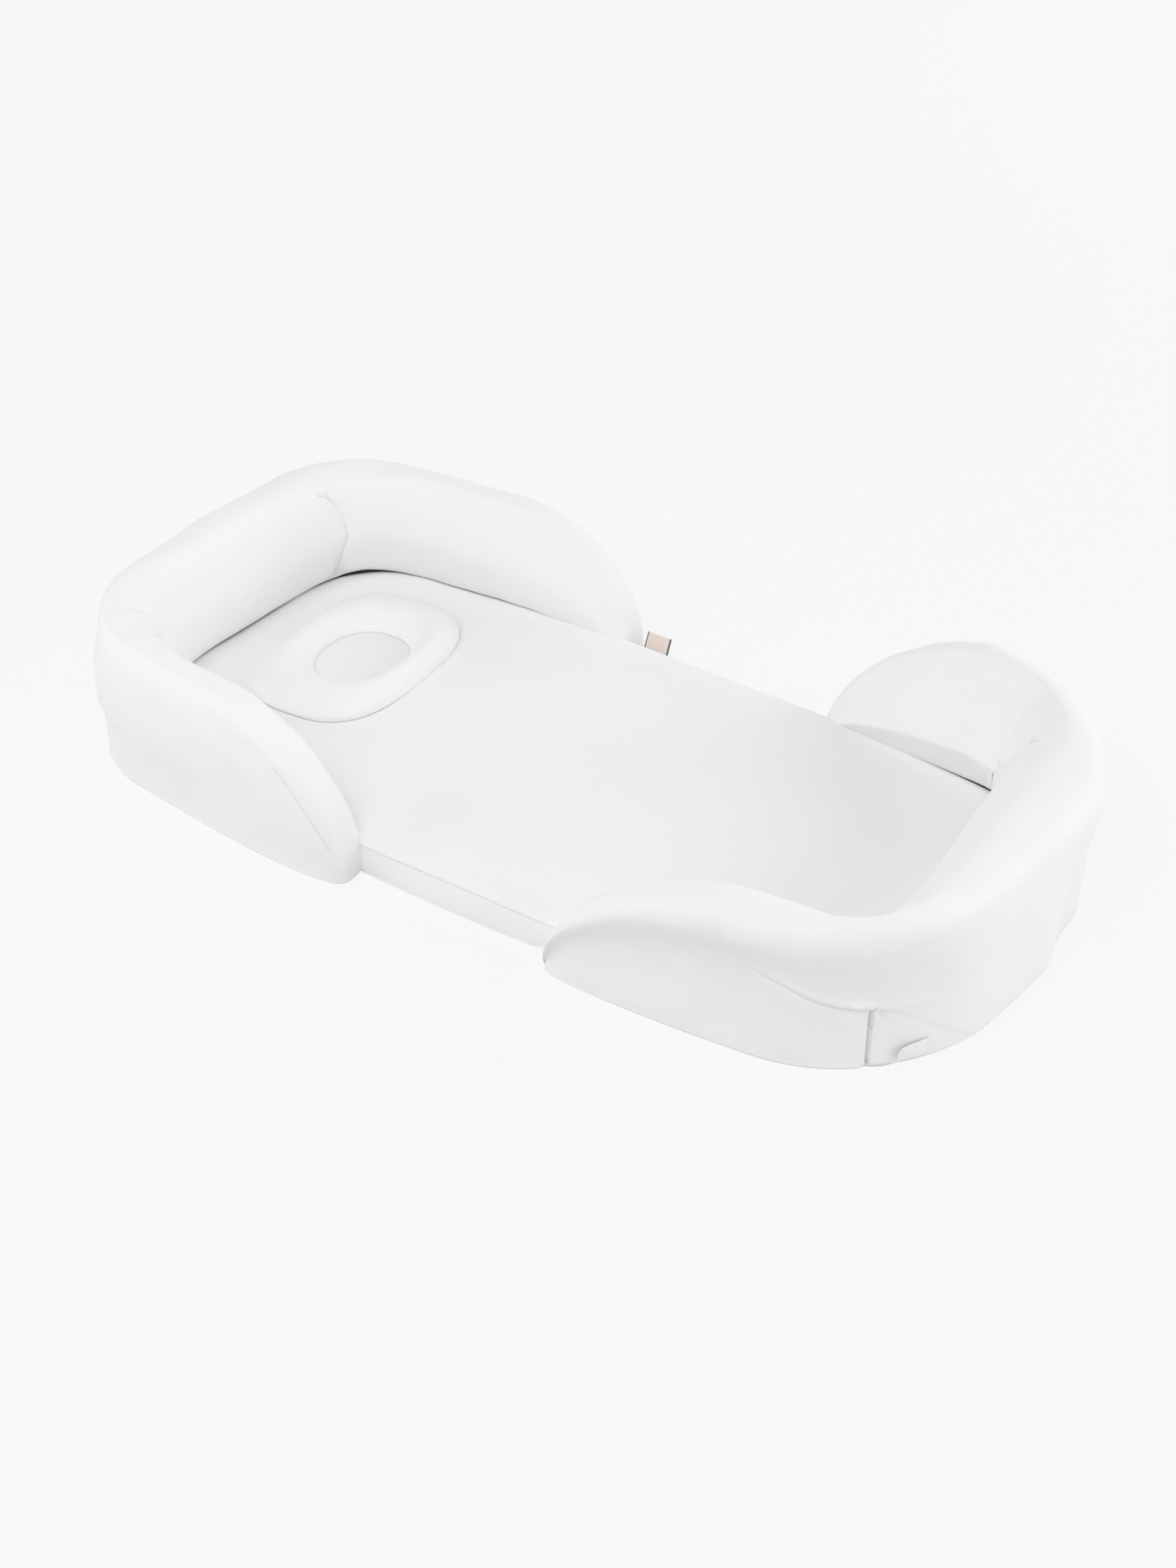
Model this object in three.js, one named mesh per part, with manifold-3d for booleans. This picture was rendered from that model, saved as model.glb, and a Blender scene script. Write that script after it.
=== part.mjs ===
// Infant lounger: a thin mattress with a ring pillow, and a U-shaped padded bumper at each end.
// Millimetres. +X runs from the head end to the foot end, -Y is the near side, +Z is up.
// The origin is on the floor, below the middle of the whole lounger.
import * as THREE from 'three';
import { mergeVertices } from 'three/addons/utils/BufferGeometryUtils.js';
import Module from 'manifold-3d';

// The nest line: the floor line of the bumpers' inner faces
const nest_length = 805;
const nest_head_half_width = 178;
const nest_middle_half_width = 207;
const nest_foot_half_width = 170;
const nest_corner_radius = 34;

// The bumpers' padded wall, across and up
const bumper_height = 136;
const roll_thickness = 48;
const roll_lean = 8.5;
const head_wing_base = 32;
const foot_wing_base = 27;
const end_base = 35;
const hem_radius = 3;
const band_height = 56;
const band_recess = 7;
const head_near_radius = 126;
const head_far_radius = 104;
const foot_near_radius = 155;
const foot_far_radius = 150;
const head_end_bow = 16;
const bow_shift = 60;
const bow_span = 200;
const foot_end_inward = 20;
const head_wing_length = 324;
const foot_near_wing_length = 283;
const foot_far_wing_length = 268;
const foot_far_swell = 16;
const head_fall_length = 141;
const foot_fall_length = 190;
const wing_nose = 3;
const tip_thickness_share = 0.5;
const square_share = 0.68;

// Cloth, foam and the small gaps between them
const cover_thickness = 2.5;
const band_thickness = 3;
const slit_width = 4;
const fit_gap = 0.3;

// The mattress, inside the nest line
const mattress_head_gap = 3;
const mattress_foot_gap = 18;
const mattress_head_half_width = 176;
const mattress_middle_half_width = 205;
const mattress_foot_half_width = 164;
const mattress_head_radius = 104;
const mattress_foot_radius = 122;
const border_height = 21;
const border_bulge_height = 9;
const border_inset_low = 2;
const border_inset_top = 7;
const border_thickness = 2;
const top_panel_rise = 13;
const top_panel_edge_rise = 1.5;
const top_panel_roll = 38;
const underside_thickness = 1.5;

// The base flaps under the mattress, and the hook and loop strips that hold them
const flap_thickness = 1.5;
const flap_overrun = 12;
const strip_thickness = 0.7;
const strip_width = 240;
const hook_strip_length = 40;
const loop_patch_length = 130;
const strip_end_inset = 60;

// The ring pillow, lying a little askew on the mattress
const pillow_length = 145;
const pillow_width = 221;
const pillow_place_share = -0.3267;
const pillow_place_y = 16;
const pillow_turn_degrees = 5;
const pillow_squareness = 2.9;
const pillow_height = 22;
const hollow_length = 75;
const hollow_width = 91;
const hollow_shift = 5;
const hollow_squareness = 2.3;
const pillow_cloth = 1.5;

// The blank label at the far edge, and the pull tab on the foot bumper's band
const label_width = 26;
const label_length = 34;
const label_ply = 0.7;
const label_fold_gap = 0.5;
const label_place_share = -0.0683;
const label_height = 3;
const label_tilt_degrees = 66;
const tab_width = 27;
const tab_length = 14;
const tab_thickness = 1.5;
const tab_corner_radius = 6;
const tab_height = 5;
const tab_place_share = 0.7;

// How finely the forms are divided
const fall_steps = 6;
const straight_steps = 3;
const corner_steps = 6;
const end_steps = 2;
const flank_steps = 3;
const crown_steps = 8;
const mattress_side_steps = 10;
const pillow_steps = 36;
const pillow_arch_steps = 6;
const first_fall_angle = 10;

const half_length = nest_length / 2;
const half_roll = roll_thickness / 2;
const roll_height = bumper_height - half_roll;
const right_angle = Math.PI / 2;
const lerp = THREE.MathUtils.lerp;
const radians = THREE.MathUtils.degToRad;

// A half width that passes through the head, middle and foot values on a smooth curve
function halfWidthAt(x, head, middle, foot) {
  const along = (x + half_length) / nest_length;
  const headPart = head * (1 - along) * (1 - 2 * along);
  const middlePart = middle * 4 * along * (1 - along);
  return headPart + middlePart + foot * along * (2 * along - 1);
}

const nestWidths = [nest_head_half_width, nest_middle_half_width, nest_foot_half_width];
const mattressWidths = [mattress_head_half_width, mattress_middle_half_width, mattress_foot_half_width];

// Where a line round the nest leaves its side and turns its corner; end is -1 at the head, +1 at the foot
function cornerOf(end, widths, offset, endX, radius) {
  const step = fit_gap;
  let start = endX - end * radius;
  let slope = 0;
  for (let round = 0; round < 8; round += 1) {
    const rise = halfWidthAt(start + step, ...widths) - halfWidthAt(start - step, ...widths);
    slope = rise / (2 * step);
    const turn = Math.acos(-(slope * end) / Math.hypot(1, slope));
    start = endX - (end * radius * Math.tan(turn / 2)) / Math.hypot(1, slope);
  }
  const side = new THREE.Vector2(start, halfWidthAt(start, ...widths) + offset);
  const normal = new THREE.Vector2(-slope, 1).normalize();
  const centre = side.clone().addScaledVector(normal, -radius);
  return { start, centre, radius, from: normal.angle(), to: end > 0 ? 0 : Math.PI };
}

function cornerPoint(corner, share) {
  const angle = lerp(corner.from, corner.to, share);
  const reach = new THREE.Vector2(Math.cos(angle), Math.sin(angle)).multiplyScalar(corner.radius);
  return corner.centre.clone().add(reach);
}

// Half of a line round one end of the nest, from the wing's tip to the middle of the end. The offset is from
// the nest line outwards, and side is -1 for the near half, +1 for the far half
function halfGuide({ end, fallLength }, { side, wingLength }, line) {
  const { offset, endOffset = offset, radius, bow = 0, swell = 0 } = line;
  const endX = end * (half_length + endOffset);
  const tipX = end * (half_length - wingLength);
  const corner = cornerOf(end, nestWidths, offset, endX, radius);
  const sideLength = Math.abs(corner.start - tipX);
  const squareLength = fallLength * square_share;
  const points = [];
  const alongs = [];
  for (let i = 0; i < fall_steps; i += 1) {
    const angle = radians(lerp(first_fall_angle, 90, i / fall_steps));
    alongs.push(squareLength * (1 - Math.cos(angle)));
  }
  for (let i = 0; i < straight_steps; i += 1) {
    alongs.push(lerp(squareLength, sideLength, i / straight_steps));
  }
  for (const along of alongs) {
    const x = tipX + end * along;
    const swollen = swell * Math.sin((Math.PI * along) / sideLength);
    points.push(new THREE.Vector2(x, halfWidthAt(x, ...nestWidths) + offset + swollen));
  }
  const bowed = (point, share) => {
    const place = (side * point.y - bow_shift) / bow_span;
    return point.setX(point.x + end * bow * share * (1 - place * place));
  };
  for (let i = 0; i < corner_steps; i += 1) {
    points.push(bowed(cornerPoint(corner, i / corner_steps), i / corner_steps));
  }
  const last = cornerPoint(corner, 1).y;
  for (let i = 0; i <= end_steps; i += 1) {
    points.push(bowed(new THREE.Vector2(endX, last * (1 - i / end_steps)), 1));
  }
  for (const point of points) point.y *= side;
  return { points, alongs };
}

// Stations round one bumper, from the near wing's tip to the far wing's tip
function bumperStations(form) {
  const half = (wing) => {
    const bulge = halfGuide(form, wing, {
      offset: roll_lean - half_roll, endOffset: roll_lean - half_roll - form.inward,
      radius: nest_corner_radius - half_roll + roll_lean,
    });
    const outer = halfGuide(form, wing, {
      offset: roll_lean + half_roll, radius: wing.radius, bow: form.bow, swell: wing.swell,
    });
    return bulge.points.map((point, i) => {
      const along = i < bulge.alongs.length ? Math.min(bulge.alongs[i] / form.fallLength, 1) : 1;
      return { bulge: point, outer: outer.points[i], fall: Math.sqrt(1 - (1 - along) ** 2) };
    });
  };
  const far = half({ side: 1, ...form.far });
  const stations = half({ side: -1, ...form.near }).concat(far.slice(0, -1).reverse());
  return stations.map((station) => {
    const outward = station.outer.clone().sub(station.bulge).normalize();
    const forward = new THREE.Vector2(-outward.y, outward.x).multiplyScalar(form.end);
    return { ...station, outward, forward };
  });
}

// The padded wall's outer flank: narrow where it stands, widest at the roll
function flankOut(up, low, high) {
  const share = (up - hem_radius) / (roll_height - hem_radius);
  return lerp(low, high, Math.sin(right_angle * share));
}

// The wall's section as points out from the nest line and up from the floor
function wallSection(base, recess) {
  const points = [];
  for (let i = 0; i < flank_steps; i += 1) {
    const up = lerp(hem_radius, roll_height, i / flank_steps);
    points.push([flankOut(up, 0, roll_lean - half_roll), up]);
  }
  for (let i = 0; i <= crown_steps; i += 1) {
    const angle = Math.PI * (1 - i / crown_steps);
    points.push([roll_lean + half_roll * Math.cos(angle), roll_height + half_roll * Math.sin(angle)]);
  }
  const outerAt = (up) => flankOut(up, base, roll_lean + half_roll);
  points.push([outerAt((roll_height + band_height) / 2), (roll_height + band_height) / 2]);
  points.push([outerAt(band_height), band_height]);
  points.push([outerAt(band_height) - recess, recess ? band_height : band_height - hem_radius]);
  points.push([base - recess, hem_radius]);
  points.push([base - recess - hem_radius, 0]);
  points.push([hem_radius, 0]);
  return points.map(([out, up]) => new THREE.Vector2(out, up));
}

// The section as it is at a station: lower and thinner along the wing's fall, with its overhang fading out
function sectionAt(section, fall) {
  const thin = lerp(tip_thickness_share, 1, fall);
  return section.map(({ x, y }) => new THREE.Vector2(x * (x < 0 ? fall : thin), y * fall));
}

// A closed outline drawn inwards by a distance, corner by corner
function drawnIn(outline, distance) {
  const count = outline.length;
  return outline.map((point, i) => {
    const before = point.clone().sub(outline[(i + count - 1) % count]).normalize();
    const after = outline[(i + 1) % count].clone().sub(point).normalize();
    const bisector = before.clone().add(after).normalize();
    const inward = new THREE.Vector2(bisector.y, -bisector.x);
    const spread = Math.max(Math.abs(before.dot(bisector)), Math.SQRT1_2);
    return point.clone().addScaledVector(inward, distance / spread);
  });
}

// A section set up at a station, moved along the bumper by a step
function ringAt(station, outline, step = 0) {
  return outline.map((point) => {
    const share = (point.x + half_roll - roll_lean) / roll_thickness;
    const place = station.bulge.clone().lerp(station.outer, share).addScaledVector(station.forward, step);
    return new THREE.Vector3(place.x, place.y, point.y);
  });
}

function meanOf(ring) {
  const sum = ring.reduce((total, point) => total.add(point), new THREE.Vector3());
  return sum.divideScalar(ring.length);
}

function geometryFrom(vertices, triangles) {
  const place = vertices.flatMap((vertex) => vertex.toArray());
  let volume = 0;
  for (const [a, b, c] of triangles) {
    volume += vertices[a].dot(vertices[b].clone().cross(vertices[c]));
  }
  const facing = volume < 0 ? triangles.map(([a, b, c]) => [a, c, b]) : triangles;
  const geometry = new THREE.BufferGeometry();
  geometry.setAttribute('position', new THREE.Float32BufferAttribute(place, 3));
  geometry.setIndex(facing.flat());
  geometry.computeVertexNormals();
  return geometry;
}

// Rings joined in turn. Wrapped rings close on the first; otherwise each end has a cap round a middle point.
// From the ring at turn on, each face is cut along its other diagonal, so that a lining follows its cover
function loft(rings, { wrap = false, turn = rings.length, nose = null } = {}) {
  const size = rings[0].length;
  const vertices = rings.flat();
  const triangles = [];
  const joins = wrap ? rings.length : rings.length - 1;
  for (let r = 0; r < joins; r += 1) {
    const here = r * size;
    const next = ((r + 1) % rings.length) * size;
    for (let i = 0; i < size; i += 1) {
      const j = (i + 1) % size;
      if (r < turn) triangles.push([here + i, here + j, next + j], [here + i, next + j, next + i]);
      else triangles.push([here + i, here + j, next + i], [here + j, next + j, next + i]);
    }
  }
  if (!wrap) {
    const last = (rings.length - 1) * size;
    const middles = [vertices.length, vertices.length + 1];
    vertices.push(nose ?? meanOf(rings[0]), meanOf(rings.at(-1)));
    for (let i = 0; i < size; i += 1) {
      const j = (i + 1) % size;
      triangles.push([middles[0], j, i], [middles[1], last + i, last + j]);
    }
  }
  return geometryFrom(vertices, triangles);
}

const cloth_white = { color: 0xf7f7f6, roughness: 0.92 };
const cloth_grey = { color: 0xe3e3e4, roughness: 0.95 };
const foam_white = { color: 0xf1efe6, roughness: 1 };
const tape_white = { color: 0xeeeeec, roughness: 0.9 };
const label_pink = { color: 0xe9d9d0, roughness: 0.85 };

function meshOf(name, geometry, look) {
  const mesh = new THREE.Mesh(geometry, new THREE.MeshStandardMaterial({ metalness: 0, ...look }));
  mesh.name = name;
  return mesh;
}

// A wing's cover is open at its mitre and closed at its tip, where its hem is solid, and its foam fills it
function wingPieces(name, base, stations, inwards) {
  const section = wallSection(base, 0);
  const liningSection = drawnIn(section, cover_thickness);
  const foamSection = drawnIn(section, cover_thickness + fit_gap);
  const cover = [];
  const lining = [];
  const foam = [];
  const last = stations.length - 1;
  stations.forEach((station, i) => {
    const toMitre = i === last ? -inwards * fit_gap / 2 : 0;
    const fromHem = i === 1 ? inwards * fit_gap : 0;
    cover.push(ringAt(station, sectionAt(section, station.fall), toMitre));
    if (i === 0) return;
    lining.push(ringAt(station, sectionAt(liningSection, station.fall), toMitre));
    foam.push(ringAt(station, sectionAt(foamSection, station.fall), toMitre + fromHem));
  });
  const nose = meanOf(cover[0]);
  nose.x -= inwards * wing_nose * stations[0].forward.x;
  nose.y -= inwards * wing_nose * stations[0].forward.y;
  const shell = loft(cover.concat(lining.reverse()), { turn: cover.length, nose });
  return [
    meshOf(`${name}_cover`, shell, cloth_white),
    meshOf(`${name}_foam`, loft(foam), foam_white),
  ];
}

// How far out the end's cover stands under its band
function bandInside(up) {
  return flankOut(up, end_base, roll_lean + half_roll) - band_recess;
}

// The end's cover is open at both mitres; a flat band closes its lower outside
function endPieces(name, stations) {
  const section = wallSection(end_base, band_recess);
  const cover = [];
  const lining = [];
  const foam = [];
  const band = [];
  const last = stations.length - 1;
  const outerAt = (up) => bandInside(up) + fit_gap;
  const bandOutline = [
    new THREE.Vector2(outerAt(hem_radius), fit_gap),
    new THREE.Vector2(outerAt(hem_radius), hem_radius),
    new THREE.Vector2(outerAt(band_height), band_height - fit_gap),
    new THREE.Vector2(outerAt(band_height) + band_thickness, band_height - fit_gap),
    new THREE.Vector2(outerAt(hem_radius) + band_thickness, hem_radius),
    new THREE.Vector2(outerAt(hem_radius) + band_thickness, fit_gap),
  ];
  stations.forEach((station, i) => {
    const toMitre = (Number(i === 0) - Number(i === last)) * fit_gap / 2;
    cover.push(ringAt(station, section, toMitre));
    lining.push(ringAt(station, drawnIn(section, cover_thickness), toMitre));
    foam.push(ringAt(station, drawnIn(section, cover_thickness + fit_gap), toMitre));
    band.push(ringAt(station, bandOutline));
  });
  const cutBack = (ring, next) => ring.map((point, i) => (
    point.clone().lerp(next[i], slit_width / point.distanceTo(next[i]))
  ));
  band[0] = cutBack(band[0], band[1]);
  band[last] = cutBack(band[last], band[last - 1]);
  return [
    meshOf(`${name}_cover`, loft(cover.concat(lining.reverse()), { wrap: true, turn: cover.length }), cloth_white),
    meshOf(`${name}_foam`, loft(foam), foam_white),
    meshOf(`${name}_band`, loft(band), cloth_white),
  ];
}

// A flat plate from an outline in the floor plane
function plate(outline, low, thickness) {
  const geometry = new THREE.ExtrudeGeometry(new THREE.Shape(outline), { depth: thickness, bevelEnabled: false });
  geometry.translate(0, 0, low);
  return geometry;
}

function bumper(name, form) {
  const stations = bumperStations(form);
  const mitre = fall_steps + straight_steps + corner_steps / 2;
  const farMitre = stations.length - 1 - mitre;
  const farWing = stations.slice(farMitre).reverse();
  const inside = stations.slice(fall_steps).slice(0, stations.length - 2 * fall_steps).map((station) => {
    const share = (half_roll - roll_lean - fit_gap) / roll_thickness;
    return station.bulge.clone().lerp(station.outer, share);
  });
  const flapEnd = form.end * (half_length - form.near.wingLength - flap_overrun);
  const flapHalf = halfWidthAt(flapEnd, ...nestWidths) - fit_gap;
  const tips = [new THREE.Vector2(flapEnd, flapHalf), new THREE.Vector2(flapEnd, -flapHalf)];
  const group = new THREE.Group();
  group.add(
    ...wingPieces(`${name}_near_wing`, form.base, stations.slice(0, mitre + 1), 1),
    ...endPieces(`${name}_end`, stations.slice(mitre, farMitre + 1)),
    ...wingPieces(`${name}_far_wing`, form.base, farWing, -1),
    meshOf(`${name}_base_flap`, plate(inside.concat(tips), 0, flap_thickness), cloth_grey),
  );
  return { group, stations, mitre };
}

// A closed line round the mattress, drawn in from its widest line
function mattressLine(inset) {
  const half = [];
  const headReach = half_length - mattress_head_gap - inset;
  const footReach = half_length - mattress_foot_gap - inset;
  const corners = [
    cornerOf(-1, mattressWidths, -inset, -headReach, mattress_head_radius - inset),
    cornerOf(1, mattressWidths, -inset, footReach, mattress_foot_radius - inset),
  ];
  for (let i = 0; i < end_steps; i += 1) {
    half.push(new THREE.Vector2(-headReach, (cornerPoint(corners[0], 1).y * i) / end_steps));
  }
  for (let i = corner_steps; i > 0; i -= 1) half.push(cornerPoint(corners[0], i / corner_steps));
  for (let i = 0; i <= mattress_side_steps; i += 1) {
    const x = lerp(corners[0].start, corners[1].start, i / mattress_side_steps);
    half.push(new THREE.Vector2(x, halfWidthAt(x, ...mattressWidths) - inset));
  }
  for (let i = 1; i <= corner_steps; i += 1) half.push(cornerPoint(corners[1], i / corner_steps));
  for (let i = end_steps - 1; i >= 0; i -= 1) {
    half.push(new THREE.Vector2(footReach, (cornerPoint(corners[1], 1).y * i) / end_steps));
  }
  const far = half.slice(1, -1).map((point) => new THREE.Vector2(point.x, -point.y)).reverse();
  return half.concat(far);
}

function ringUp(inset, up) {
  return mattressLine(inset).map((point) => new THREE.Vector3(point.x, point.y, up));
}

const wasm = await Module();
wasm.setup();

function solidFrom(geometry) {
  const bare = geometry.clone();
  bare.deleteAttribute('normal');
  bare.deleteAttribute('uv');
  const merged = mergeVertices(bare, fit_gap / 1000);
  const vertProperties = new Float32Array(merged.attributes.position.array);
  const triVerts = new Uint32Array(merged.index.array);
  return new wasm.Manifold(new wasm.Mesh({ numProp: 3, vertProperties, triVerts }));
}

function geometryOf(solid) {
  const mesh = solid.getMesh();
  const geometry = new THREE.BufferGeometry();
  geometry.setAttribute('position', new THREE.Float32BufferAttribute(mesh.vertProperties, 3));
  geometry.setIndex(Array.from(mesh.triVerts));
  return geometry;
}

// Heights of the layers under the mattress: flap, hook strip, loop patch, then the underside panel
const hook_strip_low = flap_thickness + fit_gap;
const loop_patch_low = hook_strip_low + strip_thickness + fit_gap;
const underside_low = loop_patch_low + strip_thickness + fit_gap;
const foam_low = underside_low + underside_thickness + fit_gap;
const head_step = -(half_length - head_wing_length - flap_overrun) + fit_gap * 2;
const foot_step = half_length - foot_near_wing_length - flap_overrun - fit_gap * 2;
const mattress_top = border_height + fit_gap + top_panel_rise;

// The underside panel lies on the flaps at its ends and sags to the floor between them
function undersidePanel() {
  const bend = underside_low;
  const line = [
    [-nest_length, underside_low], [head_step, underside_low], [head_step + bend, 0],
    [foot_step - bend, 0], [foot_step, underside_low], [nest_length, underside_low],
  ];
  const upper = line.map(([x, z]) => [x, z + underside_thickness]).reverse();
  const profile = new THREE.Shape(line.concat(upper).map(([x, z]) => new THREE.Vector2(x, z)));
  const bent = new THREE.ExtrudeGeometry(profile, { depth: nest_length, bevelEnabled: false });
  bent.rotateX(right_angle);
  bent.translate(0, nest_length / 2, 0);
  const inset = border_inset_low + border_thickness + fit_gap;
  const outline = plate(mattressLine(inset), -nest_length, 2 * nest_length);
  return geometryOf(solidFrom(bent).intersect(solidFrom(outline)));
}

function mattressFoam() {
  const around = border_thickness + fit_gap;
  const low = underside_thickness + fit_gap;
  const whole = solidFrom(loft([
    ringUp(border_inset_low + around, low),
    ringUp(border_inset_low + around, border_bulge_height),
    ringUp(border_inset_top + around, border_height),
  ]));
  const above = (x, side) => {
    const box = new THREE.BoxGeometry(nest_length, nest_length, foam_low - low + fit_gap);
    box.translate(x + side * nest_length / 2, 0, (foam_low + low - fit_gap) / 2);
    return solidFrom(box);
  };
  const cut = whole.subtract(above(head_step + underside_low, -1)).subtract(above(foot_step - underside_low, 1));
  return geometryOf(cut);
}

function mattress() {
  const low = border_height + fit_gap;
  const edge = border_inset_top;
  const borderOuter = [
    ringUp(border_inset_low, hook_strip_low), ringUp(0, border_bulge_height),
    ringUp(border_inset_top, border_height),
  ];
  const borderInner = [
    ringUp(border_inset_top + border_thickness, border_height),
    ringUp(border_inset_low + border_thickness, border_bulge_height),
    ringUp(border_inset_low + border_thickness, hook_strip_low),
  ];
  const topRings = [ringUp(edge + top_panel_edge_rise, low), ringUp(edge, low + top_panel_edge_rise)];
  for (const angle of [30, 60, 90].map(radians)) {
    const rise = lerp(top_panel_edge_rise, top_panel_rise, Math.sin(angle));
    topRings.push(ringUp(edge + top_panel_roll * (1 - Math.cos(angle)), low + rise));
  }
  const strip = (x, length) => [
    [x - length / 2, -strip_width / 2], [x + length / 2, -strip_width / 2],
    [x + length / 2, strip_width / 2], [x - length / 2, strip_width / 2],
  ].map(([a, b]) => new THREE.Vector2(a, b));
  const headStrip = head_step - strip_end_inset;
  const footStrip = foot_step + strip_end_inset;
  const group = new THREE.Group();
  group.add(
    meshOf('mattress_underside', undersidePanel(), cloth_grey),
    meshOf('mattress_foam', mattressFoam(), foam_white),
    meshOf('mattress_side_border', loft(borderOuter.concat(borderInner), { wrap: true }), cloth_white),
    meshOf('mattress_top_panel', loft(topRings), cloth_white),
    meshOf('head_hook_strip', plate(strip(headStrip, hook_strip_length), hook_strip_low, strip_thickness), tape_white),
    meshOf('foot_hook_strip', plate(strip(footStrip, hook_strip_length), hook_strip_low, strip_thickness), tape_white),
    meshOf('head_loop_patch', plate(
      strip(headStrip - (loop_patch_length - hook_strip_length) / 2, loop_patch_length),
      loop_patch_low, strip_thickness), tape_white),
    meshOf('foot_loop_patch', plate(
      strip(footStrip + (loop_patch_length - hook_strip_length) / 2, loop_patch_length),
      loop_patch_low, strip_thickness), tape_white),
  );
  return group;
}

// A rounded oblong: a circle at squareness 2, squarer above it
function oblong(angle, length, width, squareness) {
  const power = 2 / squareness;
  const c = Math.cos(angle);
  const s = Math.sin(angle);
  return new THREE.Vector2(
    (length / 2) * Math.sign(c) * Math.abs(c) ** power,
    (width / 2) * Math.sign(s) * Math.abs(s) ** power,
  );
}

// Arch points across the pillow's ring, from its outer edge to the hollow's edge
function archPoints(angle, inset, rise) {
  const outer = oblong(angle, pillow_length - 2 * inset, pillow_width - 2 * inset, pillow_squareness);
  const inner = oblong(angle, hollow_length + 2 * inset, hollow_width + 2 * inset, hollow_squareness);
  inner.x += hollow_shift;
  const points = [];
  for (let i = 0; i <= pillow_arch_steps; i += 1) {
    const turn = (Math.PI * i) / pillow_arch_steps;
    const place = outer.clone().lerp(inner, (1 - Math.cos(turn)) / 2);
    points.push(new THREE.Vector3(place.x, place.y, rise * Math.sin(turn)));
  }
  return points;
}

function ringPillow() {
  const panelLow = fit_gap;
  const ringLow = panelLow + pillow_cloth + fit_gap;
  const coverRings = [];
  const fillRings = [];
  const outline = [];
  const dimple = [];
  for (let i = 0; i < pillow_steps; i += 1) {
    const angle = (2 * Math.PI * i) / pillow_steps;
    const lift = (points) => points.map((point) => point.setZ(point.z + ringLow));
    const outside = lift(archPoints(angle, 0, pillow_height));
    const inside = lift(archPoints(angle, pillow_cloth, pillow_height - pillow_cloth));
    coverRings.push(outside.concat(inside.reverse()));
    fillRings.push(lift(archPoints(angle, pillow_cloth + fit_gap, pillow_height - pillow_cloth - fit_gap)));
    outline.push(oblong(angle, pillow_length, pillow_width, pillow_squareness));
    const edge = oblong(angle, hollow_length - 2 * fit_gap, hollow_width - 2 * fit_gap, hollow_squareness);
    dimple.push(edge.setX(edge.x + hollow_shift));
  }
  const group = new THREE.Group();
  group.position.set(pillow_place_share * nest_length, pillow_place_y, mattress_top);
  group.rotation.z = radians(pillow_turn_degrees);
  group.add(
    meshOf('pillow_underside', plate(outline, panelLow, pillow_cloth), cloth_white),
    meshOf('pillow_ring_cover', loft(coverRings, { wrap: true }), cloth_white),
    meshOf('pillow_fill', loft(fillRings, { wrap: true }), foam_white),
    meshOf('pillow_dimple_panel', plate(dimple, ringLow, pillow_cloth), cloth_white),
  );
  return group;
}

// A folded ribbon, sewn in by its open ends: drawn on its side, then stood up along X
function sideLabel() {
  const thickness = 2 * label_ply + label_fold_gap;
  const fold = label_length - label_ply;
  const profile = new THREE.Shape([
    [0, 0], [label_length, 0], [label_length, thickness], [0, thickness],
    [0, thickness - label_ply], [fold, thickness - label_ply], [fold, label_ply], [0, label_ply],
  ].map(([x, y]) => new THREE.Vector2(x, y)));
  const geometry = new THREE.ExtrudeGeometry(profile, { depth: label_width, bevelEnabled: false });
  geometry.rotateX(right_angle);
  geometry.rotateZ(right_angle);
  const mesh = meshOf('side_label', geometry, label_pink);
  const middle = label_place_share * nest_length;
  const edge = halfWidthAt(middle + label_width / 2, ...mattressWidths) + fit_gap;
  const tilt = radians(label_tilt_degrees);
  mesh.rotation.x = tilt;
  mesh.position.set(middle - label_width / 2, edge, label_height);
  return mesh;
}

// A small flap of cloth with one round corner, lying against the foot bumper's band
function pullTab(stations, mitre) {
  const bandAt = (step, up) => {
    const out = bandInside(up) + band_thickness + 2 * fit_gap;
    return ringAt(stations[mitre + step], [new THREE.Vector2(out, up)])[0];
  };
  const shape = new THREE.Shape();
  const half = tab_width / 2;
  shape.moveTo(-half, 0);
  shape.lineTo(half, 0);
  shape.lineTo(half, tab_length);
  shape.lineTo(tab_corner_radius - half, tab_length);
  shape.absarc(tab_corner_radius - half, tab_length - tab_corner_radius, tab_corner_radius,
    right_angle, Math.PI, false);
  shape.lineTo(-half, 0);
  const geometry = new THREE.ExtrudeGeometry(shape,
    { depth: tab_thickness, bevelEnabled: false, curveSegments: corner_steps });
  const placeAt = (up) => bandAt(0, up).lerp(bandAt(1, up), tab_place_share);
  const foot = placeAt(tab_height);
  const across = bandAt(1, tab_height).sub(bandAt(0, tab_height)).normalize();
  const up = placeAt(tab_height + tab_length).sub(foot).normalize();
  const outward = across.clone().cross(up).normalize();
  up.crossVectors(outward, across);
  const mesh = meshOf('foot_pull_tab', geometry, cloth_white);
  mesh.quaternion.setFromRotationMatrix(new THREE.Matrix4().makeBasis(across, up, outward));
  mesh.position.copy(foot);
  return mesh;
}

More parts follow.
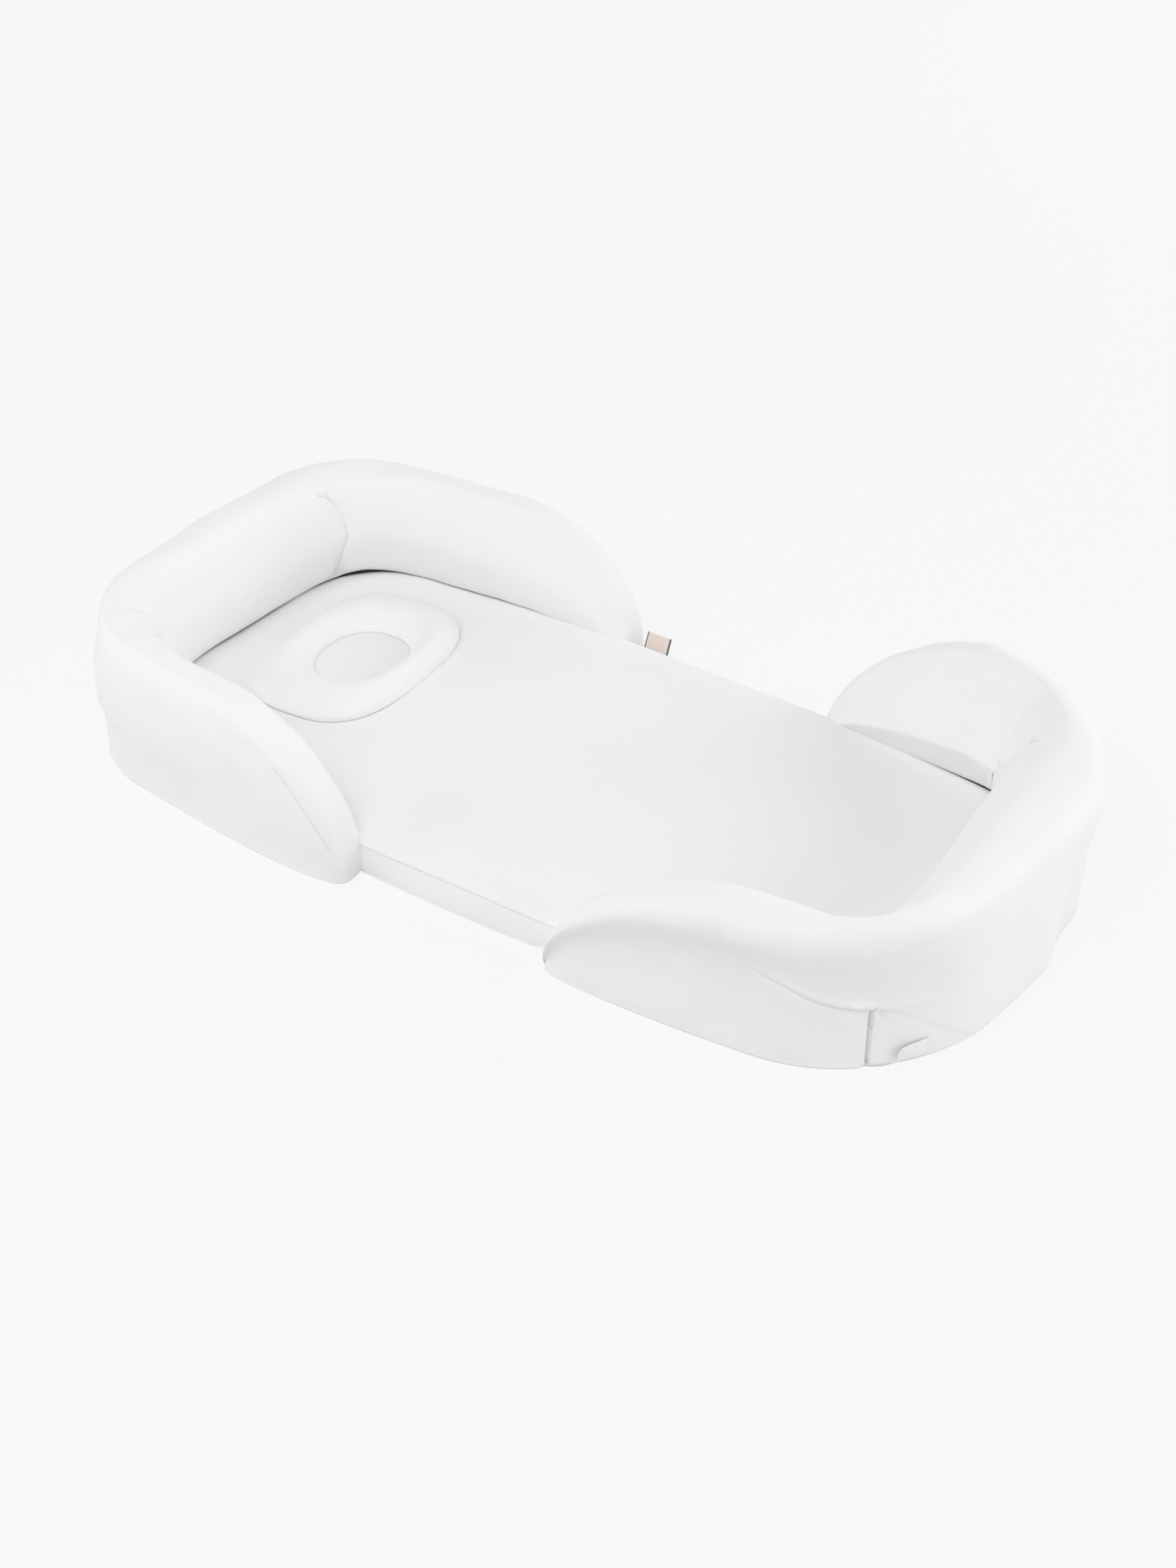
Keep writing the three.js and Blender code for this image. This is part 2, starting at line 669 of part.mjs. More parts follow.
const lounger = new THREE.Group();
const head = bumper('head', {
  end: -1, base: head_wing_base, fallLength: head_fall_length, bow: head_end_bow, inward: 0,
  near: { radius: head_near_radius, wingLength: head_wing_length, swell: 0 },
  far: { radius: head_far_radius, wingLength: head_wing_length, swell: 0 },
});
const foot = bumper('foot', {
  end: 1, base: foot_wing_base, fallLength: foot_fall_length, bow: 0, inward: foot_end_inward,
  near: { radius: foot_near_radius, wingLength: foot_near_wing_length, swell: 0 },
  far: { radius: foot_far_radius, wingLength: foot_far_wing_length, swell: foot_far_swell },
});
lounger.add(mattress(), ringPillow(), sideLabel(), head.group, foot.group);
lounger.add(pullTab(foot.stations, foot.mitre));
const middle = new THREE.Box3().setFromObject(lounger).getCenter(new THREE.Vector3());
lounger.position.set(-middle.x, -middle.y, 0);

export default lounger;
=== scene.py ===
"""Infant lounger: its padded covers, mattress, ring pillow, label and tab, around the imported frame.

Forms are worked out in millimetres in the nest's own frame, then moved by NEST_SHIFT and scaled to metres.
"""
import math

import bmesh
import bpy
import numpy as np
from mathutils import Matrix, Vector


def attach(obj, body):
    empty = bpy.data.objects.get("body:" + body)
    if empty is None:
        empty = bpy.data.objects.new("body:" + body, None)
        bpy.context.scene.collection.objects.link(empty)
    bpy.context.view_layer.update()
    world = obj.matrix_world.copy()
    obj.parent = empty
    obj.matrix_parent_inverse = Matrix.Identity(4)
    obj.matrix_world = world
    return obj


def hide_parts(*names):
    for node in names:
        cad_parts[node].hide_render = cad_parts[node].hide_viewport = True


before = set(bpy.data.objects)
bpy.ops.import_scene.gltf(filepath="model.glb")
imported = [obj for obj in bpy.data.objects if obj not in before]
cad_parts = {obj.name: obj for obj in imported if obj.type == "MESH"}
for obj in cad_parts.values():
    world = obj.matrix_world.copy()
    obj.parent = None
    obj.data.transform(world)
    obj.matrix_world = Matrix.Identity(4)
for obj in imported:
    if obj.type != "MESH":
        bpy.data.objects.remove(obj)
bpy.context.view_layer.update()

MM = 0.001
# From the nest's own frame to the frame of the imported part
NEST_SHIFT = np.array([7.97, -2.65, 0.0])

# The nest line, the mattress and the pillow, as in the solids
HALF_LENGTH = 402.5
NEST_WIDTHS = (178, 207, 170)
MATTRESS_WIDTHS = (176, 205, 164)
ROLL_LEAN = 8.5
HALF_ROLL = 24


def half_width(x, widths):
    head, middle, foot = widths
    t = (x + HALF_LENGTH) / (2 * HALF_LENGTH)
    return head * (1 - t) * (1 - 2 * t) + middle * 4 * t * (1 - t) + foot * t * (2 * t - 1)


def corner_of(end, widths, offset, end_x, radius):
    """Where a line round the nest leaves its side and turns its corner."""
    start, slope = end_x - end * radius, 0.0
    for _ in range(10):
        slope = (half_width(start + 0.3, widths) - half_width(start - 0.3, widths)) / 0.6
        turn = math.acos(-slope * end / math.hypot(1, slope))
        start = end_x - end * radius * math.tan(turn / 2) / math.hypot(1, slope)
    side = np.array([start, half_width(start, widths) + offset])
    normal = np.array([-slope, 1.0]) / math.hypot(1, slope)
    return {"start": start, "centre": side - normal * radius, "radius": radius,
            "from": math.atan2(normal[1], normal[0]), "to": 0.0 if end > 0 else math.pi}


def corner_point(corner, share):
    angle = corner["from"] + (corner["to"] - corner["from"]) * share
    return corner["centre"] + corner["radius"] * np.array([math.cos(angle), math.sin(angle)])


def smooth(t):
    t = np.clip(t, 0, 1)
    return t * t * (3 - 2 * t)


def spline(values, at):
    """A smooth curve through rows of values at 0, 1, 2 ..., read at the given places."""
    values = np.asarray(values, float)
    n = len(values)
    at = np.clip(np.asarray(at, float), 0, n - 1 - 1e-9)
    i = np.floor(at).astype(int)
    t = (at - i)[..., None] if values.ndim > 1 else at - i
    a, b = values[np.maximum(i - 1, 0)], values[i]
    c, d = values[np.minimum(i + 1, n - 1)], values[np.minimum(i + 2, n - 1)]
    return 0.5 * (2 * b + (c - a) * t + (2 * a - 5 * b + 4 * c - d) * t * t + (3 * b - a - 3 * c + d) * t ** 3)


def run_along(path):
    """How far along a path each of its points lies."""
    return np.concatenate([[0], np.cumsum(np.linalg.norm(np.diff(path, axis=0), axis=1))])


def along(points, line):
    """For each point: how far it is from a line, where along it, the gap and the line's heading there."""
    line = np.asarray(line, float)
    far = np.full(len(points), 1e9)
    run = np.zeros(len(points))
    gap = np.zeros((len(points), 3))
    heading = np.zeros((len(points), 3))
    done = 0.0
    for a, b in zip(line[:-1], line[1:]):
        length = float(np.linalg.norm(b - a))
        d = (b - a) / length
        t = np.clip((points - a) @ d, 0, length)
        offset = points - a - t[:, None] * d
        distance = np.linalg.norm(offset, axis=1)
        near = distance < far
        far[near], run[near], gap[near], heading[near] = distance[near], done + t[near], offset[near], d
        done += length
    return far, run, gap, heading, done


def smooth_line(points, steps=8):
    points = np.asarray(points, float)
    return spline(points, np.linspace(0, len(points) - 1, (len(points) - 1) * steps + 1))


def beside(points, normals, line):
    """Signed distance to a line on a surface, positive on its left; with the run and the line's length."""
    far, run, gap, heading, length = along(points, line)
    side = np.einsum("ij,ij->i", gap, np.cross(normals, heading))
    # The line may lie a little over or under the surface, which doesn't count
    flat = gap - np.einsum("ij,ij->i", gap, normals)[:, None] * normals
    far = np.where(far < 12, np.linalg.norm(flat, axis=1), far)
    return np.where(side < 0, -far, far), run, length


def bell(s, middle, width):
    return np.exp(-((s - middle) / width) ** 2)


def emboss(points, normals, line, profile, facing, reach=40, fade=(0.15, 0.15)):
    """Moves one side's points along their normals by a profile across a line; it fades towards the ends."""
    line = smooth_line(line)
    box = (points > line.min(0) - reach).all(1) & (points < line.max(0) + reach).all(1)
    picked = np.flatnonzero(box & (normals @ np.asarray(facing, float) > 0.15))
    s, run, length = beside(points[picked], normals[picked], line)
    share = run / length
    strength = np.ones(len(picked))
    for place, part in ((share, fade[0]), (1 - share, fade[1])):
        if part > 0:
            strength *= smooth(place / part)
    strength *= smooth((reach - np.abs(s)) / (0.3 * reach))
    points[picked] += normals[picked] * (profile(s, share) * strength)[:, None]


def pucker(points, normals, centre, radius, height, folds, turn, facing):
    """Small folds that radiate from a point where cloth is pulled together."""
    centre = np.asarray(centre, float)
    away = points - centre
    far = np.linalg.norm(away, axis=1)
    picked = np.flatnonzero((far < 3 * radius) & (normals @ np.asarray(facing, float) > 0.1))
    normal = np.asarray(facing, float) / np.linalg.norm(facing)
    first = np.cross(normal, [0.0, 0.0, 1.0])
    first /= np.linalg.norm(first)
    second = np.cross(normal, first)
    angle = np.arctan2(away[picked] @ second, away[picked] @ first)
    r = far[picked] / radius
    ripple = np.sin(folds * angle + turn) + 0.5 * np.sin((folds - 3) * angle + 2.1 * turn)
    lift = height * (ripple * r * np.exp(-r * r) * 1.6 - 0.9 * np.exp(-(r * 2.2) ** 2))
    points[picked] += normals[picked] * lift[:, None]


def unevenness(points, size, height, seed):
    """A soft unevenness that repeats the same way each run: waves in many directions."""
    rng = np.random.default_rng(seed)
    total = np.zeros(len(points))
    waves = 22
    for _ in range(waves):
        direction = rng.normal(size=3)
        direction *= 2 * math.pi / (size * rng.uniform(0.7, 1.6)) / np.linalg.norm(direction)
        total += np.sin(points @ direction + rng.uniform(0, 2 * math.pi))
    return total * height / math.sqrt(waves / 2)


def grid_normals(grid):
    """Outward normals of a tube of rows whose points run over the top from the inside to the outside."""
    around = np.roll(grid, -1, 1) - np.roll(grid, 1, 1)
    down = np.gradient(grid, axis=0)
    normal = np.cross(around, down)
    normal /= np.maximum(np.linalg.norm(normal, axis=2, keepdims=True), 1e-9)
    return normal


# The bumpers' forms. Wing is how far a wing reaches from the nest's end, fall the length over which it falls
# to its tip, bow how far the end stands out within bow_span, inward how far the inner line lies in, slant how
# far the crown leans in at the far corner, fill the reach of the round where a wing meets the end, and swell
# how much fuller a wing's outer side is.
HEAD = dict(end=-1, fall=141, bow=16, bow_span=200, inward=0, slant=0, section="head_end",
            near=dict(side=-1, radius=126, wing=324, fill=118, inner="near", section="head_wing"),
            far=dict(side=1, radius=104, wing=324, fill=92, inner="far", section="head_wing"))
FOOT = dict(end=1, fall=190, bow=8, bow_span=135, inward=20, slant=18, section="foot_end",
            near=dict(side=-1, radius=155, wing=283, fill=0, inner="near", section="foot_wing"),
            far=dict(side=1, radius=150, wing=272, swell=18, fill=62, inner="foot_far", section="foot_far"))
# The bow's middle, the share of the fall in which rows run square across the wall, the inner line's corner
# radius, how far in the section reaches, and the length of the swell
BOW_SHIFT, SQUARE_SHARE, INNER_CORNER, BULGE, SWELL_LENGTH = 60, 0.68, 4, -21.4, 325
# Distances between rows round a corner, and the angle that a corner turns through
FINE_STEP, COARSE_STEP = 0.9, 2.4
CORNER_ANGLE = 1.45
# A wing's section draws in to this place at its tip, which rises in a quarter circle, divided at these degrees
TIP_MIDDLE, TIP_POWER = 7, 0.4
TIP_ANGLES = np.concatenate([[0.6, 1.5], np.arange(3, 90, 1.7)])
# Where the slit lies in the foot bumper's near corner, and the rows beside it, from its middle
SLIT_SHARE = 0.4555
SLIT_ROWS = (-4.0, -3.4, -2.9, -2.5, -2.15, -1.9, -1.2, 0, 1.2, 1.9, 2.15, 2.5, 2.9, 3.4, 4.0)
# Where round a corner the wing's section turns into the end's, and over how long
BLENDS = {"head_wing": (0.25, 0.5), "foot_wing": (0.42, 0.5), "foot_far": (1.1, 0.8)}


def swelling(line, run):
    """How much fuller a wing's outer side is, at a distance from its tip: most at a third of the length."""
    t = min(run / SWELL_LENGTH, 1)
    return line["swell"] * 6.75 * t * (1 - t) ** 2


def guide_point(form, wing, line, part, share):
    """A point on a line round one end. Part 0 is the wing from its tip, 1 the corner and 2 half the end."""
    end, side = form["end"], wing["side"]
    corner = line["corner"]
    if part == 0:
        square = form["fall"] * SQUARE_SHARE
        length = abs(corner["start"] - line["tip_x"])
        place = share * wing["inner_length"]
        if place > square:
            place = square + (place - square) * (length - square) / (wing["inner_length"] - square)
        x = line["tip_x"] + end * place
        point = np.array([x, half_width(x, NEST_WIDTHS) + line["offset"] + swelling(line, place)])
        bowed = 0.0
    elif part == 1:
        point, bowed = corner_point(corner, share), share
        run = abs(corner["start"] - line["tip_x"])
        run += share * corner["radius"] * abs(corner["to"] - corner["from"])
        point += (point - corner["centre"]) / corner["radius"] * swelling(line, run)
    else:
        point, bowed = np.array([line["end_x"], corner_point(corner, 1)[1] * (1 - share)]), 1.0
    place = (side * point[1] - BOW_SHIFT) / form["bow_span"]
    full = 1 - place * place
    point[0] += end * line["bow"] * bowed * 0.5 * (full + math.sqrt(full * full + 0.02))
    point[1] *= side
    return point


def guide_line(form, wing, offset, end_offset, radius, bow=0, swell=0):
    end_x = form["end"] * (HALF_LENGTH + end_offset)
    return dict(offset=offset, end_x=end_x, bow=bow, swell=swell,
                tip_x=form["end"] * (HALF_LENGTH - wing["wing"]),
                corner=corner_of(form["end"], NEST_WIDTHS, offset, end_x, radius))


def corner_shares(length, windows):
    """Shares of a corner at which rows lie, closer together within the given windows."""
    shares = [0.0]
    while shares[-1] < 1:
        fine = any(low <= shares[-1] < high for low, high in windows)
        shares.append(shares[-1] + (FINE_STEP if fine else COARSE_STEP) / length)
    return shares[:-1]


def wing_stations(form, wing, windows, slit_share=None):
    """Rows of inner point, outer point, bow, fall and place: 0 to 1 round the corner, 2 at the end's middle."""
    lean_in, lean_out = BULGE, ROLL_LEAN + HALF_ROLL
    inner = guide_line(form, wing, lean_in, lean_in - form["inward"], INNER_CORNER)
    outer = guide_line(form, wing, lean_out, lean_out, wing["radius"], form["bow"], wing.get("swell", 0))
    wing["inner_length"] = abs(inner["corner"]["start"] - inner["tip_x"])
    rows = []
    fall_share = form["fall"] / wing["inner_length"]
    for angle in np.radians(TIP_ANGLES):
        rows.append((0, fall_share * (1 - math.cos(angle)), math.sin(angle)))
    rest = wing["inner_length"] * (1 - fall_share)
    rows += [(0, s, 1.0) for s in np.linspace(fall_share, 1, max(int(rest / 2.2), 6))[:-1]]
    arc = wing["radius"] * CORNER_ANGLE
    shares = corner_shares(arc, windows)
    if slit_share is not None:
        # The slit's own rows take the place of those close to it
        shares = [s for s in shares if abs(s - slit_share) * arc > 4.2]
        shares += [slit_share + d / arc for d in SLIT_ROWS]
    rows += [(1, s, 1.0) for s in sorted(shares)]
    rows += [(2, s ** 1.5, 1.0) for s in np.linspace(0, 1, 70)]
    found = []
    for part, share, fall in rows:
        a = guide_point(form, wing, inner, part, share)
        b = guide_point(form, wing, dict(outer, bow=0), part, share)
        bow = guide_point(form, wing, outer, part, share) - b
        found.append((a, b, bow, fall, part - 1 + share))
    return found


# The wall's section, out and up: under the inner edge and over the crown, then down the outer side
FOOTING = [(6, 0), (1, 0.6), (-0.5, 6), (-1, 13)]
LIP = [(-2, 20), (-3.2, 24.4), (-5.6, 27.8), (-9, 30.6), (-13, 32.9)]
INNER_NEAR = FOOTING + LIP + [
    (-16.8, 36.4), (-19.2, 43.6), (-20.6, 53), (-21.4, 65), (-21.4, 77), (-20.4, 89), (-18.4, 100),
    (-15.2, 111), (-11.2, 121), (-5, 130.4), (3, 135), (12, 136)]
INNER_FAR = FOOTING + LIP + [
    (-17, 36.4), (-19.8, 43.6), (-21.6, 53), (-22.6, 65), (-22.4, 76), (-20.2, 87), (-16.8, 98),
    (-12.8, 109), (-8, 119.5), (-2, 129.3), (5, 134.6), (12, 136)]
INNER_FOOT_FAR = FOOTING + [
    (-2, 19.4), (-3.2, 23.6), (-5.6, 26.8), (-9.4, 29), (-13.4, 31.4), (-16.6, 35.8), (-19, 43),
    (-21.8, 52), (-24.2, 60.4), (-26, 67.4), (-24.6, 73.6), (-20, 81.5), (-14.4, 91.5), (-9, 102),
    (-3.6, 113), (3, 126), (12, 136)]
OUTER_SIDES = {
    "head_wing": [(20, 133.8), (26, 128), (30, 118.5), (32.6, 104), (34.6, 88), (35.8, 70), (36, 52),
                  (35.4, 32), (34, 5), (33.6, 0.5), (27, 0)],
    "head_end": [(21, 133.4), (28, 127), (32, 117), (33.6, 104), (34, 88), (33.8, 68), (33.4, 50),
                 (33.6, 30), (34.2, 5), (33.8, 0.5), (27, 0)],
    "foot_wing": [(21, 133.4), (28, 127.4), (31.8, 119.5), (32.8, 111), (30.8, 101), (26.8, 88), (24.2, 70),
                  (24, 42), (26.2, 5), (26, 0.5), (20, 0)],
    "foot_end": [(22, 134), (29.5, 128.5), (33, 119), (33.8, 106), (33.8, 88), (33.4, 68), (33.2, 48),
                 (33.8, 28), (34.4, 5), (34, 0.5), (27, 0)],
    "foot_far": [(22, 134), (29.5, 128), (33, 118), (33, 106), (31.5, 92), (29.8, 76), (28.4, 58),
                 (27.2, 36), (26.2, 5), (25.8, 0.5), (19, 0)],
}
INNER_COUNT = len(INNER_NEAR)


def section_places():
    """Where the section is read along its points: closer together on the outer side, where the ledges lie."""
    rows = np.array(INNER_NEAR + OUTER_SIDES["head_wing"], float)
    at = np.linspace(0, len(rows) - 1, 4000)
    line = spline(rows, at)
    step = np.linalg.norm(np.diff(line, axis=0), axis=1)
    outside = at[1:] > INNER_COUNT
    up = line[1:, 1]
    spacing = np.where(outside & (up < 104), 1.5, 2.6)
    spacing = np.where(outside & (up > 44) & (up < 66), 0.9, spacing)
    run = np.concatenate([[0], np.cumsum(step / spacing)])
    count = int(run[-1])
    return np.interp(np.linspace(0, run[-1], count), run, at)


SECTION_AT = section_places()
INNER_SIDES = {"near": INNER_NEAR, "far": INNER_FAR, "foot_far": INNER_FOOT_FAR}
SECTIONS = {(side, name): spline(inner + rows, SECTION_AT) for name, rows in OUTER_SIDES.items()
            for side, inner in INNER_SIDES.items()}


def filled(grid, places, reach):
    """Rounds the inner side of the wall where a wing meets the end: the covers are full there."""
    corner = int(np.searchsorted(places, 0.5))
    for i in range(grid.shape[1]):
        up = grid[corner, i, 2]
        amount = float(smooth((INNER_COUNT - 1.2 - SECTION_AT[i]) / 2.2) * smooth((up - 16) / 28))
        if amount == 0:
            continue
        path = grid[:, i, :2]
        run = run_along(path)
        low, high = run[corner] - reach, run[corner] + reach
        first, last = np.searchsorted(run, low), min(np.searchsorted(run, high), len(run) - 2)
        p0, p2 = path[first], path[last]
        d0, d2 = path[first] - path[first - 2], path[last - 2] - path[last]
        meet = np.linalg.solve(np.column_stack([d0, -d2]), p2 - p0)
        p1 = p0 + d0 * meet[0]
        t = ((run[first:last] - run[first]) / (run[last] - run[first]))[:, None]
        target = (1 - t) ** 2 * p0 + 2 * t * (1 - t) * p1 + t * t * p2
        grid[first:last, i, :2] += (target - path[first:last]) * amount
    return grid


def wall_grid(form, windows, slit_share=None):
    """The wall's surface, a row of points for each station, with each row's place and each point's way out."""
    near = wing_stations(form, form["near"], windows, slit_share)
    far = wing_stations(form, form["far"], ())
    lines, ways = [], []
    for wing, stations in ((form["near"], near), (form["far"], far)):
        rows, outs = [], []
        late, span = BLENDS[wing["section"]]
        for a, b, bow, fall, place in stations:
            blend = float(smooth((place - late) / span))
            inner = float(smooth((place + 0.2) / 0.6))
            section = 0
            for side, part in ((wing["inner"], 1 - inner), ("far", inner)):
                section = section + part * (SECTIONS[side, wing["section"]] * (1 - blend)
                                            + SECTIONS[side, form["section"]] * blend)
            out = TIP_MIDDLE + (section[:, 0] - TIP_MIDDLE) * fall ** TIP_POWER
            share = (out - BULGE) / (ROLL_LEAN + HALF_ROLL - BULGE)
            plan = a + (b - a) * share[:, None] + bow * smooth((out - 4) / 24)[:, None]
            # The crown leans in over the mattress's far corner
            lean = form["slant"] * smooth((form["end"] * a[0] - 285) / 70) * smooth((a[1] + 110) / 240)
            plan[:, 0] -= form["end"] * lean * np.clip(1 - share, 0, 1) * smooth((section[:, 1] - 22) / 36)
            rows.append(np.column_stack([plan, section[:, 1] * fall]))
            outs.append([*((b + bow - a) / np.linalg.norm(b + bow - a)), 0.0])
        rows = np.array(rows)
        if wing["fill"] > 0:
            rows = filled(rows, [row[4] for row in stations], wing["fill"])
        lines.append(list(rows))
        ways.append(outs)
    grid = np.array(lines[0] + lines[1][-2::-1])
    outward = np.repeat(np.array(ways[0] + ways[1][-2::-1]), grid.shape[1], axis=0)
    places = np.array([row[4] for row in near] + [4 - row[4] for row in far[-2::-1]])
    return grid, places, outward


SEAM_LAYERS = ("seam", "seam_run", "seam_on")


def placed(name, data):
    """An object in the scene, made of the given data."""
    obj = bpy.data.objects.new(name, data)
    bpy.context.scene.collection.objects.link(obj)
    return obj


def mesh_object(name, points, faces, body, materials, seam=None):
    """A visible piece from points in the nest's frame, riding on its body, with its seam layers if any."""
    mesh = bpy.data.meshes.new(name)
    mesh.from_pydata([tuple(p) for p in (np.asarray(points) + NEST_SHIFT) * MM], [], faces)
    if seam is not None:
        for key, values in zip(SEAM_LAYERS, seam):
            layer = mesh.attributes.new(key, "FLOAT", "POINT")
            layer.data.foreach_set("value", np.asarray(values, np.float32))
    mesh.validate()
    bm = bmesh.new()
    bm.from_mesh(mesh)
    bmesh.ops.recalc_face_normals(bm, faces=bm.faces)
    bm.to_mesh(mesh)
    bm.free()
    obj = placed(name, mesh)
    for material in materials:
        mesh.materials.append(material)
    mesh.shade_smooth()
    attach(obj, body)
    return obj


def tube_faces(rows, count, caps=True):
    """Faces of a tube of closed rows, with or without a cap at each end."""
    faces = []
    for r in range(rows - 1):
        s = r + 1
        for i in range(count):
            j = (i + 1) % count
            faces.append((r * count + i, r * count + j, s * count + j, s * count + i))
    if caps:
        faces.append(tuple(range(count - 1, -1, -1)))
        faces.append(tuple((rows - 1) * count + i for i in range(count)))
    return faces


def add_node(tree, kind, inputs=None, **settings):
    """A node with its settings, and a value or a link for each of the given inputs."""
    node = tree.nodes.new(kind)
    for key, value in settings.items():
        setattr(node, key, value)
    for key, value in (inputs or {}).items():
        if isinstance(value, bpy.types.NodeSocket):
            tree.links.new(value, node.inputs[key])
        else:
            node.inputs[key].default_value = value
    return node


def maths(tree, operation, *inputs):
    return add_node(tree, "ShaderNodeMath", dict(enumerate(inputs)), operation=operation).outputs[0]


def ramp(tree, value, low, high, start=0.0, stop=1.0):
    inputs = {"Value": value, "From Min": low, "From Max": high, "To Min": start, "To Max": stop}
    return add_node(tree, "ShaderNodeMapRange", inputs, interpolation_type="SMOOTHSTEP").outputs["Result"]


def mixed(tree, share, first, second):
    inputs = {"Fac": share, "Color1": first, "Color2": second}
    return add_node(tree, "ShaderNodeMixRGB", inputs, blend_type="MIX").outputs["Color"]


def bumped(tree, height, strength, distance, normal=None):
    """A normal bent by a height, over the given one; the distance is in millimetres."""
    inputs = {"Height": height, "Strength": strength, "Distance": distance * MM}
    if normal is not None:
        inputs["Normal"] = normal
    return add_node(tree, "ShaderNodeBump", inputs).outputs["Normal"]


def direct_rays(tree):
    """1 for what the camera sees, also in a mirror or through glass, and 0 for light that falls on things."""
    path = add_node(tree, "ShaderNodeLightPath").outputs
    return maths(tree, "MAXIMUM", maths(tree, "MAXIMUM", path["Is Camera Ray"], path["Is Glossy Ray"]),
                 path["Is Transmission Ray"])


def fabric(name, colour, sheen=0.25, knit=0.9, knit_height=0.05, seams=False):
    """A fine matt knit of small loops, with a soft nap, a slight mottle and sewn seams if asked for, whose
    groove and stitches are darkened in the colour as painted shade.
    """
    material = bpy.data.materials.new(name)
    material.use_nodes = True
    tree = material.node_tree
    shader = tree.nodes["Principled BSDF"]
    for key, value in (("Roughness", 0.9), ("Sheen Weight", sheen), ("Sheen Roughness", 0.6),
                       ("Specular IOR Level", 0.2)):
        shader.inputs[key].default_value = value
    place = add_node(tree, "ShaderNodeTexCoord").outputs["Object"]
    loops = add_node(tree, "ShaderNodeTexVoronoi", {"Vector": place, "Scale": 1 / (knit * MM)}, feature="F1")
    nap = add_node(tree, "ShaderNodeTexNoise", {"Vector": place, "Scale": 900, "Detail": 3})
    broad = add_node(tree, "ShaderNodeTexNoise", {"Vector": place, "Scale": 14, "Detail": 2})
    mottle = 0.012
    dark = tuple(c * (1 - mottle) for c in colour)
    light = tuple(min(c * (1 + mottle), 1) for c in colour)
    base = mixed(tree, broad.outputs["Fac"], (*dark, 1), (*light, 1))
    normal = bumped(tree, loops.outputs["Distance"], 0.25, knit_height)
    normal = bumped(tree, nap.outputs["Fac"], 0.2, 0.04, normal)
    if seams:
        across, run, shown = [add_node(tree, "ShaderNodeAttribute", attribute_name=layer).outputs["Fac"]
                              for layer in SEAM_LAYERS]
        away = maths(tree, "ABSOLUTE", across)
        # The seam's line, darkened in the base colour below: painted shade in its groove
        line = maths(tree, "MULTIPLY", ramp(tree, away, 0.12, 0.5, 1, 0), shown)
        # A row of small stitches beside the seam
        row = ramp(tree, maths(tree, "ABSOLUTE", maths(tree, "SUBTRACT", away, 2.0)), 0.15, 0.4, 1, 0)
        dash = ramp(tree, maths(tree, "PINGPONG", run, 1.5), 0.35, 0.55, 0, 1)
        stitch = maths(tree, "MULTIPLY", maths(tree, "MULTIPLY", row, dash), shown)
        # Painted shade: the seam's groove and the stitches' dents are darkened in the colour, beside the bump
        # that bends the normal
        for mark, amount, shade in ((line, 0.45, 0.5), (stitch, 0.35, 0.9)):
            base = mixed(tree, maths(tree, "MULTIPLY", mark, amount), base, (*(c * shade for c in colour), 1))
        height = maths(tree, "SUBTRACT", maths(tree, "MULTIPLY", stitch, 0.35), line)
        normal = bumped(tree, height, 0.6, 0.25, normal)
    tree.links.new(base, shader.inputs["Base Color"])
    tree.links.new(normal, shader.inputs["Normal"])
    return material


cover_cloth = fabric("cover_cloth", (0.86, 0.86, 0.86), seams=True)
base_cloth = fabric("base_cloth", (0.7, 0.7, 0.705), knit=0.6, seams=True)
label_cloth = fabric("label_ribbon", (0.78, 0.68, 0.62), knit=0.4, sheen=0.1)
label_edge = fabric("label_edge", (0.16, 0.16, 0.17), knit=0.4, sheen=0.1)
tape_cloth = fabric("tape", (0.8, 0.8, 0.79), knit=1.4, knit_height=0.3)


def seam_layers(points, normals, lines, reach=7):
    """Signed distance, run and strength of the nearest sewn seam at each point, for the cloth's material, which
    paints shade along the seam.
    """
    seam = np.full(len(points), 99.0)
    run = np.zeros(len(points))
    shown = np.zeros(len(points))
    for line, facing in lines:
        line = smooth_line(line)
        s, r, length = beside(points, normals, line)
        ends = smooth(r / 6) * smooth((length - r) / 6)
        on = (np.abs(s) < reach) & (normals @ np.asarray(facing, float) > 0) & (np.abs(s) < np.abs(seam))
        seam[on], run[on], shown[on] = s[on], r[on], ends[on]
    return seam, run, shown


NEAR_SIDE, FAR_SIDE, FOOT_SIDE = (0, -1, 0), (0, 1, 0), (1, 0, 0)

# Sewn seams of the head bumper: at its wings' tips and down its inner corners
HEAD_TIP_NEAR = [(-148, -234.5, 99), (-134, -234, 87), (-121.5, -233.4, 75), (-102.5, -231.5, 52),
                 (-88, -228.5, 28)]
HEAD_TIP_FAR = [(x, -y, z) for x, y, z in HEAD_TIP_NEAR]
HEAD_MITRE_FAR = [(-390, 113, 128.5), (-385.7, 119.2, 124.8), (-379.9, 125.4, 120.8), (-373.8, 128.4, 110.1),
                  (-370.4, 130, 95.9), (-368.6, 130.2, 80), (-370.7, 126.2, 71.2), (-374.2, 122.4, 55.3),
                  (-380.2, 122.6, 36.6)]


def near_mitre(form, windows):
    """The seam down the inner side of the near corner, as a line from the crown to the mattress."""
    grid, places, _ = wall_grid(form, windows)
    row = grid[np.searchsorted(places, 0.5)]
    return row[(SECTION_AT > 8.5) & (SECTION_AT < INNER_COUNT - 2)][::-3]


HEAD_WINDOWS, FOOT_WINDOWS = ((0, 0.3),), ((0, 0.72),)
HEAD_MITRE_NEAR = near_mitre(HEAD, HEAD_WINDOWS)
MITRES = ((HEAD_MITRE_FAR, (0.75, -0.6, 0.3)), (HEAD_MITRE_NEAR, (0.75, 0.6, 0.3)))


